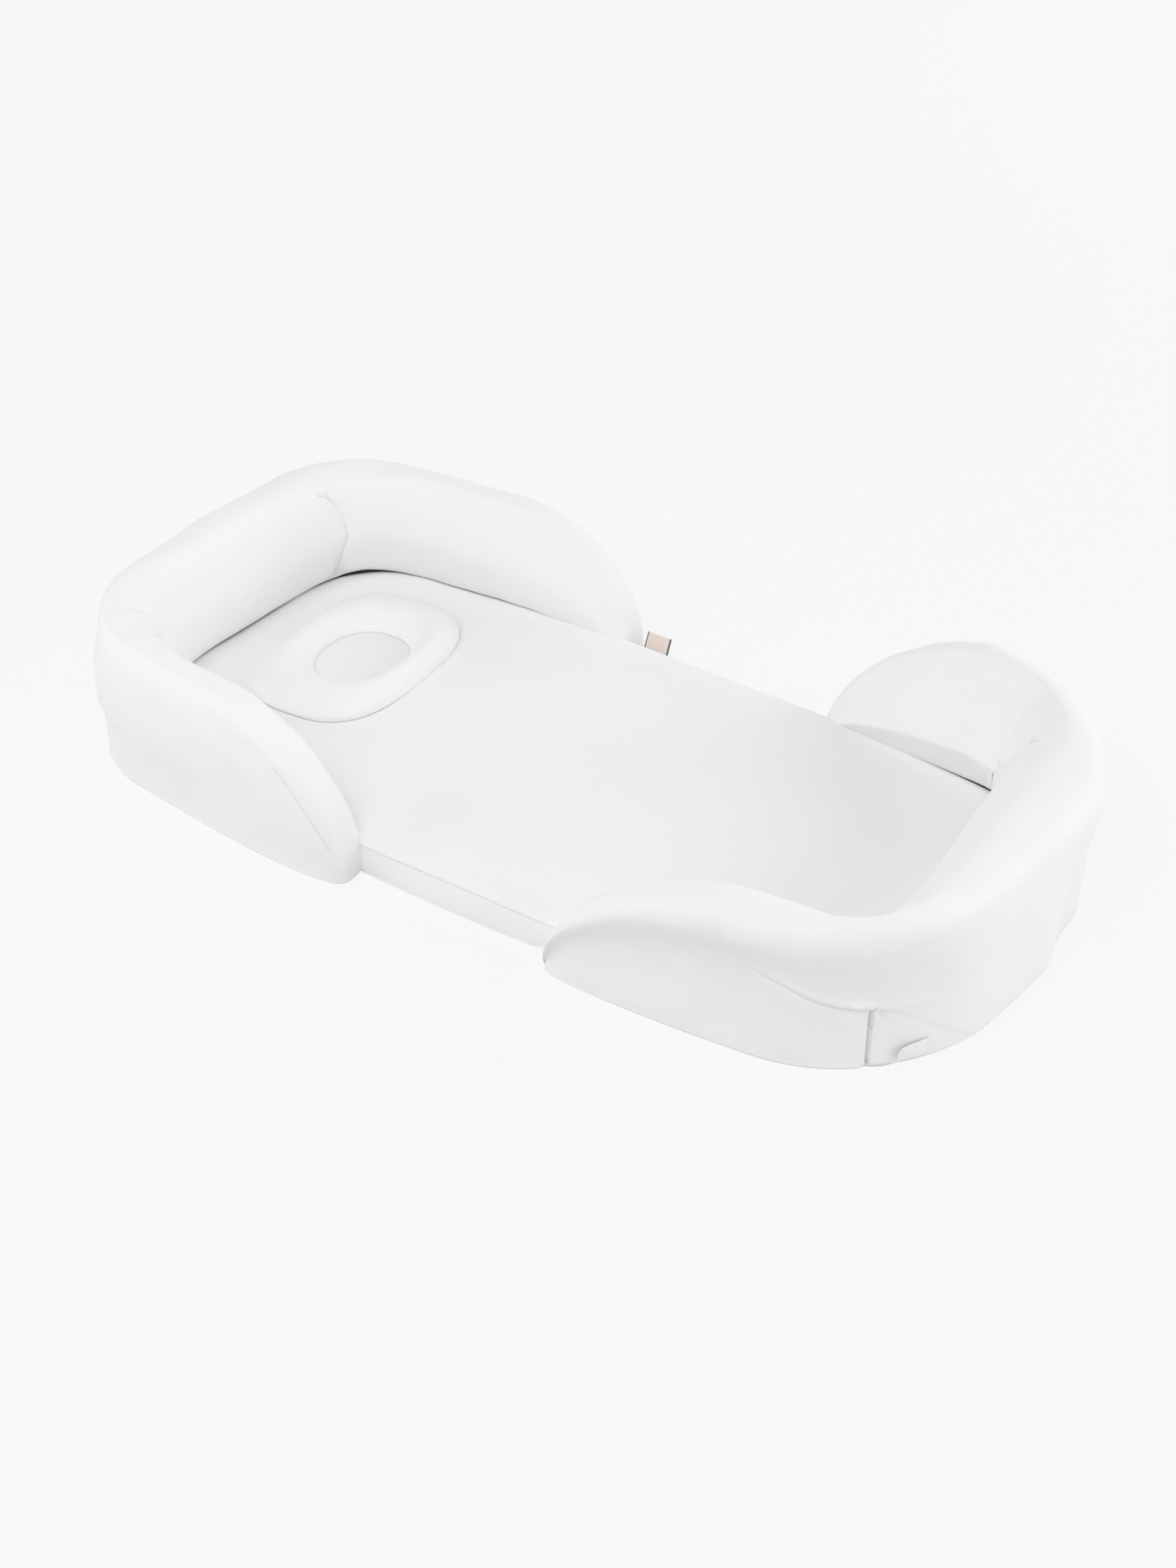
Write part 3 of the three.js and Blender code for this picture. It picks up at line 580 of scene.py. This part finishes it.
def head_details(points, normals, outward, outer):
    """Ridge, band, shoulder, seams and gathers of the head bumper's cover."""
    ridge = [(-352, -212, 116), (-300, -223, 112), (-250, -229, 106), (-205, -233, 92), (-160, -235, 76),
             (-120, -234, 56)]
    emboss(points, normals, ridge, lambda s, share: 0.7 * bell(s, 0, 10) - 0.3 * bell(np.abs(s), 19, 9),
           NEAR_SIDE, reach=46, fade=(0.25, 0.3))
    # The lower band lies deeper than the covers above it, most of all round the head end
    picked = np.flatnonzero((outer > 0) & (points[:, 0] < -120))
    at = points[picked]
    fall_away = smooth((-120 - at[:, 0]) / 240)
    ledge = 54 - 9 * smooth((at[:, 0] + 370) / 200)
    soft = 3 + 22 * smooth((at[:, 0] + 400) / 160)
    depth = 2 * fall_away + 2.4 * smooth((-330 - at[:, 0]) / 60)
    points[picked] -= outward[picked] * (depth * smooth((ledge - at[:, 2]) / soft + 0.5))[:, None]
    # A softer shoulder round the near corner
    shoulder = bell(np.arctan2(-at[:, 1] - 60, -at[:, 0] - 285), 0.75, 0.42) * smooth((at[:, 2] - 86) / 34)
    shoulder *= (at[:, 1] < 0) * outer[picked]
    points[picked] -= outward[picked] * (5.5 * shoulder)[:, None]
    for line, facing in ((HEAD_TIP_NEAR, NEAR_SIDE), (HEAD_TIP_FAR, FAR_SIDE)):
        emboss(points, normals, line, lambda s, share: -0.4 * bell(s, 0, 1.8) + 0.25 * bell(np.abs(s), 6, 4),
               facing, reach=18)
    for line, facing in MITRES:
        # A narrow groove in a dent that deepens towards the mattress
        emboss(points, normals, line,
               lambda s, share: (-1.3 * bell(s, 0, 2.2)
                                 - (1.2 * smooth(share * 2) + 5 * smooth(share * 3 - 2)) * bell(s, 0, 8)),
               facing, reach=26, fade=(0.1, 0.02))
    pucker(points, normals, (-384, 121, 123), 9, 1.1, 7, 0.6, (0.7, -0.5, 0.5))
    pucker(points, normals, (-334, -167, 134), 13, 2.3, 6, 1.4, (0.1, 0.15, 0.98))


# The foot bumper's near corner, with the middle and half width of the slit in it, and the knot over the slit
FOOT_CENTRE = (282, -60)
SLIT_MIDDLE = (387.1, -173.6)
HALF_SLIT = 2.05
KNOT = (391.5, -170.3, 54)


def foot_details(points, normals, outward, outer):
    """Crease, slit with its hem and folds, and gathers of the foot bumper's cover."""
    crease = [(292, -217, 86.5), (308.7, -213.5, 80), (332, -207, 71.5), (351.6, -198.5, 63), (369.9, -187, 57),
              (384, -176, 54.8)]
    emboss(points, normals, crease,
           lambda s, share: (1.3 * bell(s, 4.5, 3.8) - 2.4 * bell(s, 0, 1.4)) * (0.2 + 0.8 * share),
           NEAR_SIDE, reach=30, fade=(0.2, 0))
    picked = np.flatnonzero((outer > 0.9) & (points[:, 0] > 300) & (points[:, 1] < 60))
    at = points[picked]
    angle = np.arctan2(at[:, 1] - FOOT_CENTRE[1], at[:, 0] - FOOT_CENTRE[0])
    slit_angle = math.atan2(SLIT_MIDDLE[1] - FOOT_CENTRE[1], SLIT_MIDDLE[0] - FOOT_CENTRE[0])
    s = (angle - slit_angle) * FOOT["near"]["radius"] - 1.9
    right = np.clip(s, 0, 400)
    low = smooth((55.6 - at[:, 2]) / 1.6 + 0.4)
    hem = np.interp(right, (0, 16, 30, 42, 62, 83, 105), (54.2, 51.5, 45, 37, 24, 10, -8))
    ledge = smooth((hem - at[:, 2]) / (1.5 + right * 0.04) + 0.5)
    # Left of the slit the panel's edge turns in; right of it the band lies deeper under the covers' hem
    lift = np.where(s < -HALF_SLIT, -2.4 * np.clip((s + 15) / 13, 0, 1) ** 3 * low, 0.0)
    lift = np.where(s > HALF_SLIT, -(1.6 * np.exp(-right / 14) + 1.2) * ledge, lift)
    lift = np.where(np.abs(s) < HALF_SLIT, -10.5 * low, lift)
    lift += 0.9 * bell(s, -6, 6) * bell(at[:, 2], 60, 4)
    points[picked] += outward[picked] * lift[:, None]
    side = (0.75, -0.65, 0)
    # Small folds that fall from the knot, and others that run on from it over the cover
    for dx, drop, depth in ((6, 13, 0.8), (9.5, 15, 0.55), (3.8, 8, 0.5)):
        start = np.array([388.7 + dx * 0.68, -173.2 + dx * 0.73, 54.5])
        emboss(points, normals, [start, start + [1.2, 1.2, -drop * 0.5], start + [2.4, 2.6, -drop]],
               lambda s, share, d=depth: -d * bell(s, 0, 1.1) + 0.6 * d * bell(s, 2.4, 1.3), side, reach=8,
               fade=(0.2, 0.45))
    for target, depth in (((409, -150, 49), 0.7), ((418, -133, 56), 0.6), ((404, -158, 38), 0.45)):
        middle = np.array(target) * 0.5 + np.array(KNOT) * 0.5
        emboss(points, normals, [KNOT, middle, target],
               lambda s, share, d=depth: d * bell(s, 2, 2.6) - d * bell(s, -2, 2.2), side, reach=14,
               fade=(0.2, 0.5))
    sweep = [(402, -160, 50), (418, -132, 56), (430, -105, 62), (437, -84, 70)]
    emboss(points, normals, sweep, lambda s, share: 0.6 * bell(s, 0, 6) - 0.3 * bell(s, -12, 8), FOOT_SIDE,
           reach=34, fade=(0.3, 0.5))
    # The far wing stands a little higher in its middle
    far = smooth((points[:, 1] - 10) / 110)
    points[:, 2] += 7 * bell(points[:, 0], 268, 90) * smooth((points[:, 2] - 70) / 60) * far
    pucker(points, normals, (357, 127, 133.5), 12, 1.7, 7, 0.4, (-0.3, -0.2, 0.93))
    emboss(points, normals, [(352, 121, 122), (341, 130, 103), (328, 140, 83), (317, 150, 61), (310, 160, 38)],
           lambda s, share: -1.2 * bell(s, 0, 2.6) - 0.8 * bell(s, 0, 9), (-0.6, -0.75, 0.2), reach=26,
           fade=(0.2, 0.2))
    pucker(points, normals, (362, -151, 130), 8, 1.2, 7, 1.3, (-0.4, 0.3, 0.9))
    # The small eye where the crease ends
    eye = np.array([379.0, -181.5, 58.5])
    near = np.linalg.norm(points - eye, axis=1)
    picked = np.flatnonzero((outer > 0.9) & (near < 9))
    near = near[picked]
    points[picked] += normals[picked] * (1.2 * bell(near, 3.4, 1.5) - 1.2 * bell(near, 0, 1.6))[:, None]


def bumper(name, form, windows, details, seam_lines, slit_share=None):
    """One bumper's cover, with its band, over its foams."""
    grid, _, outward = wall_grid(form, windows, slit_share)
    rows, count = grid.shape[:2]
    normals = (grid_normals(grid) * form["end"]).reshape(-1, 3)
    points = grid.reshape(-1, 3).copy()
    high = smooth(points[:, 2] / 12)
    rough = unevenness(points, 120, 0.45, 3) * high + unevenness(points, 38, 0.16, 4) * high
    points += normals * rough[:, None]
    # 1 on the wall's outer side and 0 on its inner side
    outer = smooth((np.tile(SECTION_AT, rows) - INNER_COUNT + 1) / 2)
    details(points, normals, outward, outer)
    points[:, 2] = np.maximum(points[:, 2], 0.0)
    seam = seam_layers(points, normals, seam_lines)
    obj = mesh_object(f"{name}_bumper_cover", points, tube_faces(rows, count), f"{name}_bumper", [cover_cloth],
                      seam)
    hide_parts(f"{name}_near_wing_cover", f"{name}_end_cover", f"{name}_far_wing_cover",
                f"{name}_end_band", f"{name}_near_wing_foam", f"{name}_end_foam", f"{name}_far_wing_foam")


bumper("head", HEAD, HEAD_WINDOWS, head_details,
       [(HEAD_TIP_NEAR, NEAR_SIDE), (HEAD_TIP_FAR, FAR_SIDE), *MITRES])
bumper("foot", FOOT, FOOT_WINDOWS, foot_details, [], SLIT_SHARE)

# The mattress: its gaps to the nest's ends, its corners and the points of its outline
HEAD_GAP, FOOT_GAP = 3, 18
HEAD_RADIUS, FOOT_RADIUS = 104, 64
OUTLINE_COUNT = 420


def mattress_line(inset):
    """A closed line round the mattress, evenly divided, drawn in from its widest line."""
    head_x, foot_x = -(HALF_LENGTH - HEAD_GAP - inset), HALF_LENGTH - FOOT_GAP - inset
    head = corner_of(-1, MATTRESS_WIDTHS, -inset, head_x, HEAD_RADIUS - inset)
    foot = corner_of(1, MATTRESS_WIDTHS, -inset, foot_x, FOOT_RADIUS - inset)
    half = [np.array([head_x, corner_point(head, 1)[1] * s]) for s in np.linspace(0, 1, 30)[:-1]]
    half += [corner_point(head, s) for s in np.linspace(1, 0, 60)[:-1]]
    half += [np.array([x, half_width(x, MATTRESS_WIDTHS) - inset])
             for x in np.linspace(head["start"], foot["start"], 160)[:-1]]
    half += [corner_point(foot, s) for s in np.linspace(0, 1, 60)[:-1]]
    half += [np.array([foot_x, corner_point(foot, 1)[1] * s]) for s in np.linspace(1, 0, 30)]
    line = np.array(half + [p * [1, -1] for p in half[-2:0:-1]])
    closed = np.vstack([line, line[:1]])
    run = run_along(closed)
    at = np.linspace(0, run[-1], OUTLINE_COUNT, endpoint=False)
    return np.column_stack([np.interp(at, run, closed[:, 0]), np.interp(at, run, closed[:, 1])])


# Where the base flaps end, how high they hold the mattress's underside and how long its slope beside them is
HEAD_STEP, FOOT_STEP = -90.5, 107.5
STEP_UP, STEP_SLOPE = 3.8, 14


def underside_z(x):
    """The underside lies on the base flaps at its ends and sags to the floor between them."""
    head = 1 - smooth((x - HEAD_STEP) / STEP_SLOPE)
    return STEP_UP * head + STEP_UP * smooth((x - FOOT_STEP + STEP_SLOPE) / STEP_SLOPE)


MATTRESS_TOP, MATTRESS_SEAM = 34.3, 24.5
# Inset and height of the mattress's skin: from the floor up to the seam, and from the seam up over the top
BORDER_PROFILE = [(10, 0.1), (1.0, 0.3), (0.2, 2.5), (0, 8), (0.2, 14), (0.8, 19.4), (1.5, 23.2), (2.2, 24.5)]
TOP_PROFILE = [(2.2, 24.5), (1.9, 25.2), (2.6, 27), (5, 29.8), (9, 32), (15, 33.5), (27, 34.3)]

# The pillow's form, also used for the dip that it presses into the mattress
PILLOW_PLACE = np.array([-263.0, 16.0])
PILLOW_TURN = math.radians(5)
PILLOW_OUTER = (145, 221, 2.9)
PILLOW_HOLLOW = (80, 96, 2.3)
PILLOW_AXES = np.array([[math.cos(PILLOW_TURN), math.sin(PILLOW_TURN)],
                        [-math.sin(PILLOW_TURN), math.cos(PILLOW_TURN)]])
HOLLOW_SHIFT = 5


def pillow_radius(points):
    """How far points are out from the pillow's middle, as a share of its outline."""
    local = np.abs((points[:, :2] - PILLOW_PLACE) @ PILLOW_AXES.T) / (np.array(PILLOW_OUTER[:2]) / 2)
    return (local ** PILLOW_OUTER[2]).sum(1) ** (1 / PILLOW_OUTER[2])


def mattress():
    """The mattress's cover, from the middle of its underside round its edge to the middle of its top."""
    outline = mattress_line(0)
    rings, seam_at = [], []

    def lay(ring, up, run):
        rings.append(np.column_stack([ring, np.broadcast_to(up, OUTLINE_COUNT)]))
        seam_at.append(run)

    border = spline(BORDER_PROFILE, np.linspace(0, len(BORDER_PROFILE) - 1, 26))
    top = spline(TOP_PROFILE, np.linspace(0, len(TOP_PROFILE) - 1, 30))
    spine = np.column_stack([np.clip(outline[:, 0], -260, 230), np.zeros(OUTLINE_COUNT)])
    inner = mattress_line(TOP_PROFILE[-1][0])
    under = mattress_line(12)
    for s in (0.0, 0.3, 0.6, 0.85):
        ring = spine * (1 - s) + under * s
        lay(ring, underside_z(ring[:, 0]), -60)
    border_run = run_along(border)
    for (inset, up), run in zip(border, border_run - border_run[-1]):
        ring = mattress_line(inset)
        lay(ring, up + underside_z(ring[:, 0]) * (1 - up / MATTRESS_SEAM), run)
    for (inset, up), run in zip(top[1:], run_along(top)[1:]):
        lay(mattress_line(inset), up, run)
    for s in np.linspace(0, 1, 90)[1:]:
        lay(inner * (1 - s) + spine * s, MATTRESS_TOP, 60)
    points = np.array(rings).reshape(-1, 3)
    # Between the wings the border leans in towards its seam
    lean = 3.4 * bell(points[:, 0], 15, 95) * smooth(points[:, 2] / 26) * (np.abs(points[:, 1]) > 60)
    points[:, 1] -= np.sign(points[:, 1]) * lean * smooth((np.abs(points[:, 1]) - 60) / 90)
    crown = smooth((points[:, 2] - 24) / 10)
    lift = unevenness(points, 150, 0.35, 7) + unevenness(points, 55, 0.12, 8)
    near = pillow_radius(points)
    lift -= 0.5 * bell(near, 0.9, 0.2)
    points[:, 2] += lift * crown
    seam = (np.repeat(seam_at, OUTLINE_COUNT), np.tile(run_along(outline), len(rings)),
            np.repeat((np.abs(np.array(seam_at)) < 8).astype(float), OUTLINE_COUNT))
    obj = mesh_object("mattress_cover", points, tube_faces(len(rings), OUTLINE_COUNT, caps=False), "mattress",
                      [cover_cloth], seam)
    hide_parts("mattress_top_panel", "mattress_side_border", "mattress_underside", "mattress_foam")


mattress()


def oblong(angles, length, width, squareness):
    c, s = np.cos(angles), np.sin(angles)
    power = 2 / squareness
    return np.column_stack([length / 2 * np.sign(c) * np.abs(c) ** power,
                            width / 2 * np.sign(s) * np.abs(s) ** power])


# The dimple's panel, over the pillow's underside: its edge, and how much higher its middle is
DIMPLE_LOW, DIMPLE_RISE = 2.9, 0.6
RING_WIDTH = 55
# Share of the way in from the pillow's outer edge, and height over its underside
RING_PROFILE = [(0.035, -0.9), (0.014, -0.3), (0.0, 1.4), (0.004, 5.0), (0.055, 10.0), (0.16, 14.6),
                (0.31, 17.8), (0.46, 19.3), (0.62, 18.4), (0.76, 14.8), (0.885, 9.4), (0.965, 5.2), (1.0, 2.5),
                (1.03, 2.9)]


def pillow():
    """The ring pillow's cover, from its underside's rim over the ring and down to the dimple's middle."""
    count = 280
    angles = np.linspace(0, 2 * math.pi, count, endpoint=False)
    outer = oblong(angles, *PILLOW_OUTER)
    run = run_along(np.vstack([outer, outer[:1]]))
    places = np.linspace(0, run[-1], count, endpoint=False)
    even = np.interp(places, run, np.linspace(0, 2 * math.pi, count + 1))
    outer = oblong(even, *PILLOW_OUTER)
    inner = oblong(even, *PILLOW_HOLLOW) + [HOLLOW_SHIFT, 0]
    low = MATTRESS_TOP + 0.3
    rings, seam_at = [], []
    profile = spline(RING_PROFILE, np.linspace(0, len(RING_PROFILE) - 1, 80))
    for share, up in profile:
        rings.append(np.column_stack([outer * (1 - share) + inner * share, np.full(count, low + up)]))
        seam_at.append((share - 1.0) * RING_WIDTH)
    middle = np.array([[HOLLOW_SHIFT, 0.0]])
    rim, done = rings[-1][:, :2], seam_at[-1]
    for s in np.linspace(0, 1, 26)[1:]:
        up = low + DIMPLE_LOW + DIMPLE_RISE * s * (2 - s)
        rings.append(np.column_stack([rim * (1 - s) + middle * s, np.full(count, up)]))
        seam_at.append(done + s * 40)
    points = np.array(rings)
    points[..., :2] = points[..., :2] @ PILLOW_AXES + PILLOW_PLACE
    points = points.reshape(-1, 3)
    points[:, 2] += unevenness(points, 45, 0.3, 11) * smooth((points[:, 2] - low - 1) / 8)
    faces = tube_faces(len(rings), count, caps=False)
    faces.append(tuple(range(count - 1, -1, -1)))
    seam = (np.repeat(seam_at, count), np.tile(run[:-1], len(rings)),
            np.repeat((np.abs(np.array(seam_at)) < 6).astype(float), count))
    obj = mesh_object("ring_pillow_cover", points, faces, "ring_pillow", [cover_cloth], seam)
    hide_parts("pillow_ring_cover", "pillow_underside", "pillow_fill", "pillow_dimple_panel")


pillow()


def cloth_plate(name, grid, thickness, body, materials, seam=None):
    """A closed sheet of cloth of some thickness over a grid of points, with soft edges."""
    rows, columns = grid.shape[:2]
    normal = np.cross(np.gradient(grid, axis=1), np.gradient(grid, axis=0))
    normal /= np.maximum(np.linalg.norm(normal, axis=2, keepdims=True), 1e-9)
    top, low = grid + normal * thickness / 2, grid - normal * thickness / 2
    points = np.vstack([top.reshape(-1, 3), low.reshape(-1, 3)])
    size = rows * columns
    faces = []
    for r in range(rows - 1):
        for c in range(columns - 1):
            a = r * columns + c
            faces.append((a, a + 1, a + columns + 1, a + columns))
            faces.append((size + a + columns, size + a + columns + 1, size + a + 1, size + a))
    rim = list(range(columns)) + [r * columns + columns - 1 for r in range(1, rows)]
    rim += [(rows - 1) * columns + c for c in range(columns - 2, -1, -1)]
    rim += [r * columns for r in range(rows - 2, 0, -1)]
    for a, b in zip(rim, rim[1:] + rim[:1]):
        faces.append((b, a, size + a, size + b))
    doubled = None if seam is None else [np.tile(np.asarray(v).reshape(-1), 2) for v in seam]
    return mesh_object(name, points, faces, body, materials, doubled)


def base_flap(name, form):
    """A flap of cloth under the mattress, hemmed round its edge."""
    count, hem, thick = 90, 9, 1.4
    tip = form["end"] * (HALF_LENGTH - form["near"]["wing"] - 12)
    corner = guide_line(form, form["near"], -0.6, 0.6, 34)["corner"]
    edge = [(x, half_width(x, NEST_WIDTHS) - 0.6 - 9 * float(smooth(1 - abs(x - tip) / 24)))
            for x in np.linspace(tip, corner["start"], 90)[:-1]]
    edge += [tuple(corner_point(corner, s)) for s in np.linspace(0, 1, 24)]
    edge = np.array(edge)
    grid = np.array([np.column_stack([np.full(count, x), np.linspace(-half, half, count), np.full(count, 0.75)])
                     for x, half in edge])
    flat = grid.reshape(-1, 3)
    near_edge = np.minimum(np.abs(flat[:, 0] - tip), np.repeat(edge[:, 1], count) - np.abs(flat[:, 1]))
    seam = (near_edge - hem, flat[:, 1] + flat[:, 0], np.ones(len(flat)))
    obj = cloth_plate(f"{name}_base_flap_cloth", grid, thick, f"{name}_bumper", [base_cloth], seam)
    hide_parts(f"{name}_base_flap")


base_flap("head", HEAD)
base_flap("foot", FOOT)


def side_label():
    """A folded ribbon that stands up from the mattress's far edge, bent a little by its own spring."""
    width, length, gap, border = 26.0, 34.0, 0.62, 1.3
    tilt = math.radians(66)
    up = np.array([0, math.cos(tilt), math.sin(tilt)])
    out = np.array([0, -math.sin(tilt), math.cos(tilt)])
    start = np.array([-70.5, half_width(-42, MATTRESS_WIDTHS) + 0.3, 3.0]) + out * 0.95
    # Up one leaf, round the fold and down the other: the distance from the seam, and to the side
    leaf = np.linspace(0.4, length - 1.2, 26)
    run = [(s, gap) for s in leaf]
    run += [(length - 1.2 + gap * math.cos(a) * 1.3, gap * math.sin(a))
            for a in np.linspace(math.pi / 2, -math.pi / 2, 9)[1:-1]]
    run += [(s, -gap) for s in leaf[::-1]]
    rows = []
    for s, side in run:
        row = []
        for c in np.linspace(0, 1, 40):
            bend = 0.9 * math.sin(math.pi * c) * (s / length) ** 2
            bend -= 0.5 * (s / length) * math.sin(2.6 * c + 0.4)
            row.append(start + up * s + out * (side + bend) + np.array([c * width, 0, 0]))
        rows.append(row)
    obj = cloth_plate("side_label_ribbon", np.array(rows), 0.5, "side_label", [label_cloth, label_edge])
    left, right = start[0] + border, start[0] + width - border
    for face in obj.data.polygons:
        x = face.center.x / MM - NEST_SHIFT[0]
        if x < left or x > right:
            face.material_index = 1
    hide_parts("side_label")


side_label()


def pull_tab():
    """A small flap of cloth with one round corner, that stands a little off the band at its free corner."""
    width, height, radius = 27.0, 14.0, 6
    across = np.array([0.5644, 0.8256, 0])
    outward = np.array([0.8256, -0.5644, 0])
    start = np.array([410.5, -159.1, 5.0]) - NEST_SHIFT + outward * 0.5
    rows = []
    for v in np.linspace(0, 1, 30):
        row = []
        for u in np.linspace(0, 1, 54):
            x, z = u * width, v * height
            if v > 1 - radius / height and u < radius / width:
                # The round corner: a square grid drawn in to a quarter circle
                cx, cz = (radius - x) / radius, (z - (height - radius)) / radius
                reach = math.hypot(cx, cz)
                if reach > 0:
                    most = max(cx, cz)
                    cx, cz = cx * most / reach, cz * most / reach
                x, z = radius - radius * cx, height - radius + radius * cz
            lift = 2.6 * max(0.0, 1 - x / 14) * (z / height) ** 1.3
            lift += 0.9 * (z / height) ** 2 * max(0.0, 1 - x / 24) - 0.9 * float(smooth((x - 15) / 9))
            row.append(start + across * x + np.array([0, 0, z]) + outward * lift)
        rows.append(row)
    obj = cloth_plate("foot_pull_tab_cloth", np.array(rows), 1.0, "pull_tab", [cover_cloth])
    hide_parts("foot_pull_tab")


pull_tab()

for node in ("head_hook_strip", "foot_hook_strip", "head_loop_patch", "foot_loop_patch"):
    for material_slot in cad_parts[node].material_slots:
        material_slot.material = tape_cloth

# Floor and light
FLOOR_REACH = 14


def floor():
    """A white floor. The camera sees it glow, so that it stays even, with the shadows of what lies on it."""
    mesh = bpy.data.meshes.new("floor")
    corners = [(x * FLOOR_REACH, y * FLOOR_REACH, 0) for x, y in ((-1, -1), (1, -1), (1, 1), (-1, 1))]
    mesh.from_pydata(corners, [], [(0, 1, 2, 3)])
    obj = placed("floor", mesh)
    material = bpy.data.materials.new("floor")
    material.use_nodes = True
    tree = material.node_tree
    tree.nodes.clear()
    matt = add_node(tree, "ShaderNodeBsdfDiffuse", {"Color": (0.8, 0.8, 0.8, 1)})
    seen = add_node(tree, "ShaderNodeBsdfDiffuse", {"Color": (0.09, 0.09, 0.09, 1)})
    glow = add_node(tree, "ShaderNodeEmission", {"Color": (1, 1, 1, 1), "Strength": 0.849})
    added = add_node(tree, "ShaderNodeAddShader", {0: seen.outputs[0], 1: glow.outputs[0]})
    mix = add_node(tree, "ShaderNodeMixShader", {0: direct_rays(tree), 1: matt.outputs[0], 2: added.outputs[0]})
    add_node(tree, "ShaderNodeOutputMaterial", {0: mix.outputs[0]})
    mesh.materials.append(material)


floor()


def lamp(name, place, size, power):
    """A round lamp that faces the lounger and isn't seen itself."""
    light = bpy.data.lights.new(name, "AREA")
    light.shape = "DISK"
    light.size = size
    light.energy = power
    obj = placed(name, light)
    obj.location = place
    obj.rotation_euler = (Vector((0, 0, 0.05)) - Vector(place)).to_track_quat("-Z", "Y").to_euler()
    obj.visible_camera = False


# Big soft lamps all round, each by its direction and height in degrees, its distance, size and power
LAMPS = {
    "foot_side": (0, 17, 3.0, 1.8, 17.5),
    "foot_far": (45, 19, 3.0, 1.8, 22.5),
    "far_side": (90, 17, 3.0, 1.8, 15),
    "head_far": (140, 20, 3.0, 1.8, 7),
    "near_side": (280, 35, 3.0, 2.0, 10.4),
    "near_head_high": (240, 60, 3.0, 2.0, 24),
    "near_foot_high": (300, 60, 3.0, 2.0, 15.4),
    "head_near": (217, 18, 2.2, 1.2, 6.8),
}
for lamp_name, (direction, height, away, size, power) in LAMPS.items():
    direction, height = math.radians(direction), math.radians(height)
    level = away * math.cos(height)
    place = (level * math.cos(direction), level * math.sin(direction), away * math.sin(height))
    lamp(lamp_name, place, size, power)

# The world: its light on things, and the more that the camera sees of it
WORLD_LIGHT, WORLD_SEEN = 0.36, 0.57
world = bpy.data.worlds.new("studio")
bpy.context.scene.world = world
world.use_nodes = True
tree = world.node_tree
background = tree.nodes["Background"]
background.inputs["Color"].default_value = (1, 1, 1, 1)
tree.links.new(maths(tree, "MULTIPLY_ADD", direct_rays(tree), WORLD_SEEN, WORLD_LIGHT),
               background.inputs["Strength"])

# The camera at the photograph's viewing angle, fitted with a focal length and a picture height in pixels
FOCAL_PIXELS, PICTURE_HEIGHT, SENSOR = 3042.76, 2125, 36
camera_data = bpy.data.cameras.new("camera")
camera = placed("camera", camera_data)
camera_data.sensor_fit = "AUTO"
camera_data.sensor_width = SENSOR
camera_data.lens = FOCAL_PIXELS / PICTURE_HEIGHT * SENSOR
camera_data.shift_x = 0.0265
camera_data.shift_y = 0.006
camera_data.clip_end = 60
right = Vector((0.812056, 0.58357376, 0.00259339))
up = Vector((-0.33495626, 0.46245092, 0.82094059))
back = Vector((0.47788007, -0.6675184, 0.57100773))
turned = Matrix((right, up, back)).transposed().to_4x4()
turned.translation = Vector((0.93665, -1.347156, 1.133637))
camera.matrix_world = turned
bpy.context.scene.camera = camera

bpy.context.scene.view_settings.view_transform = "Standard"
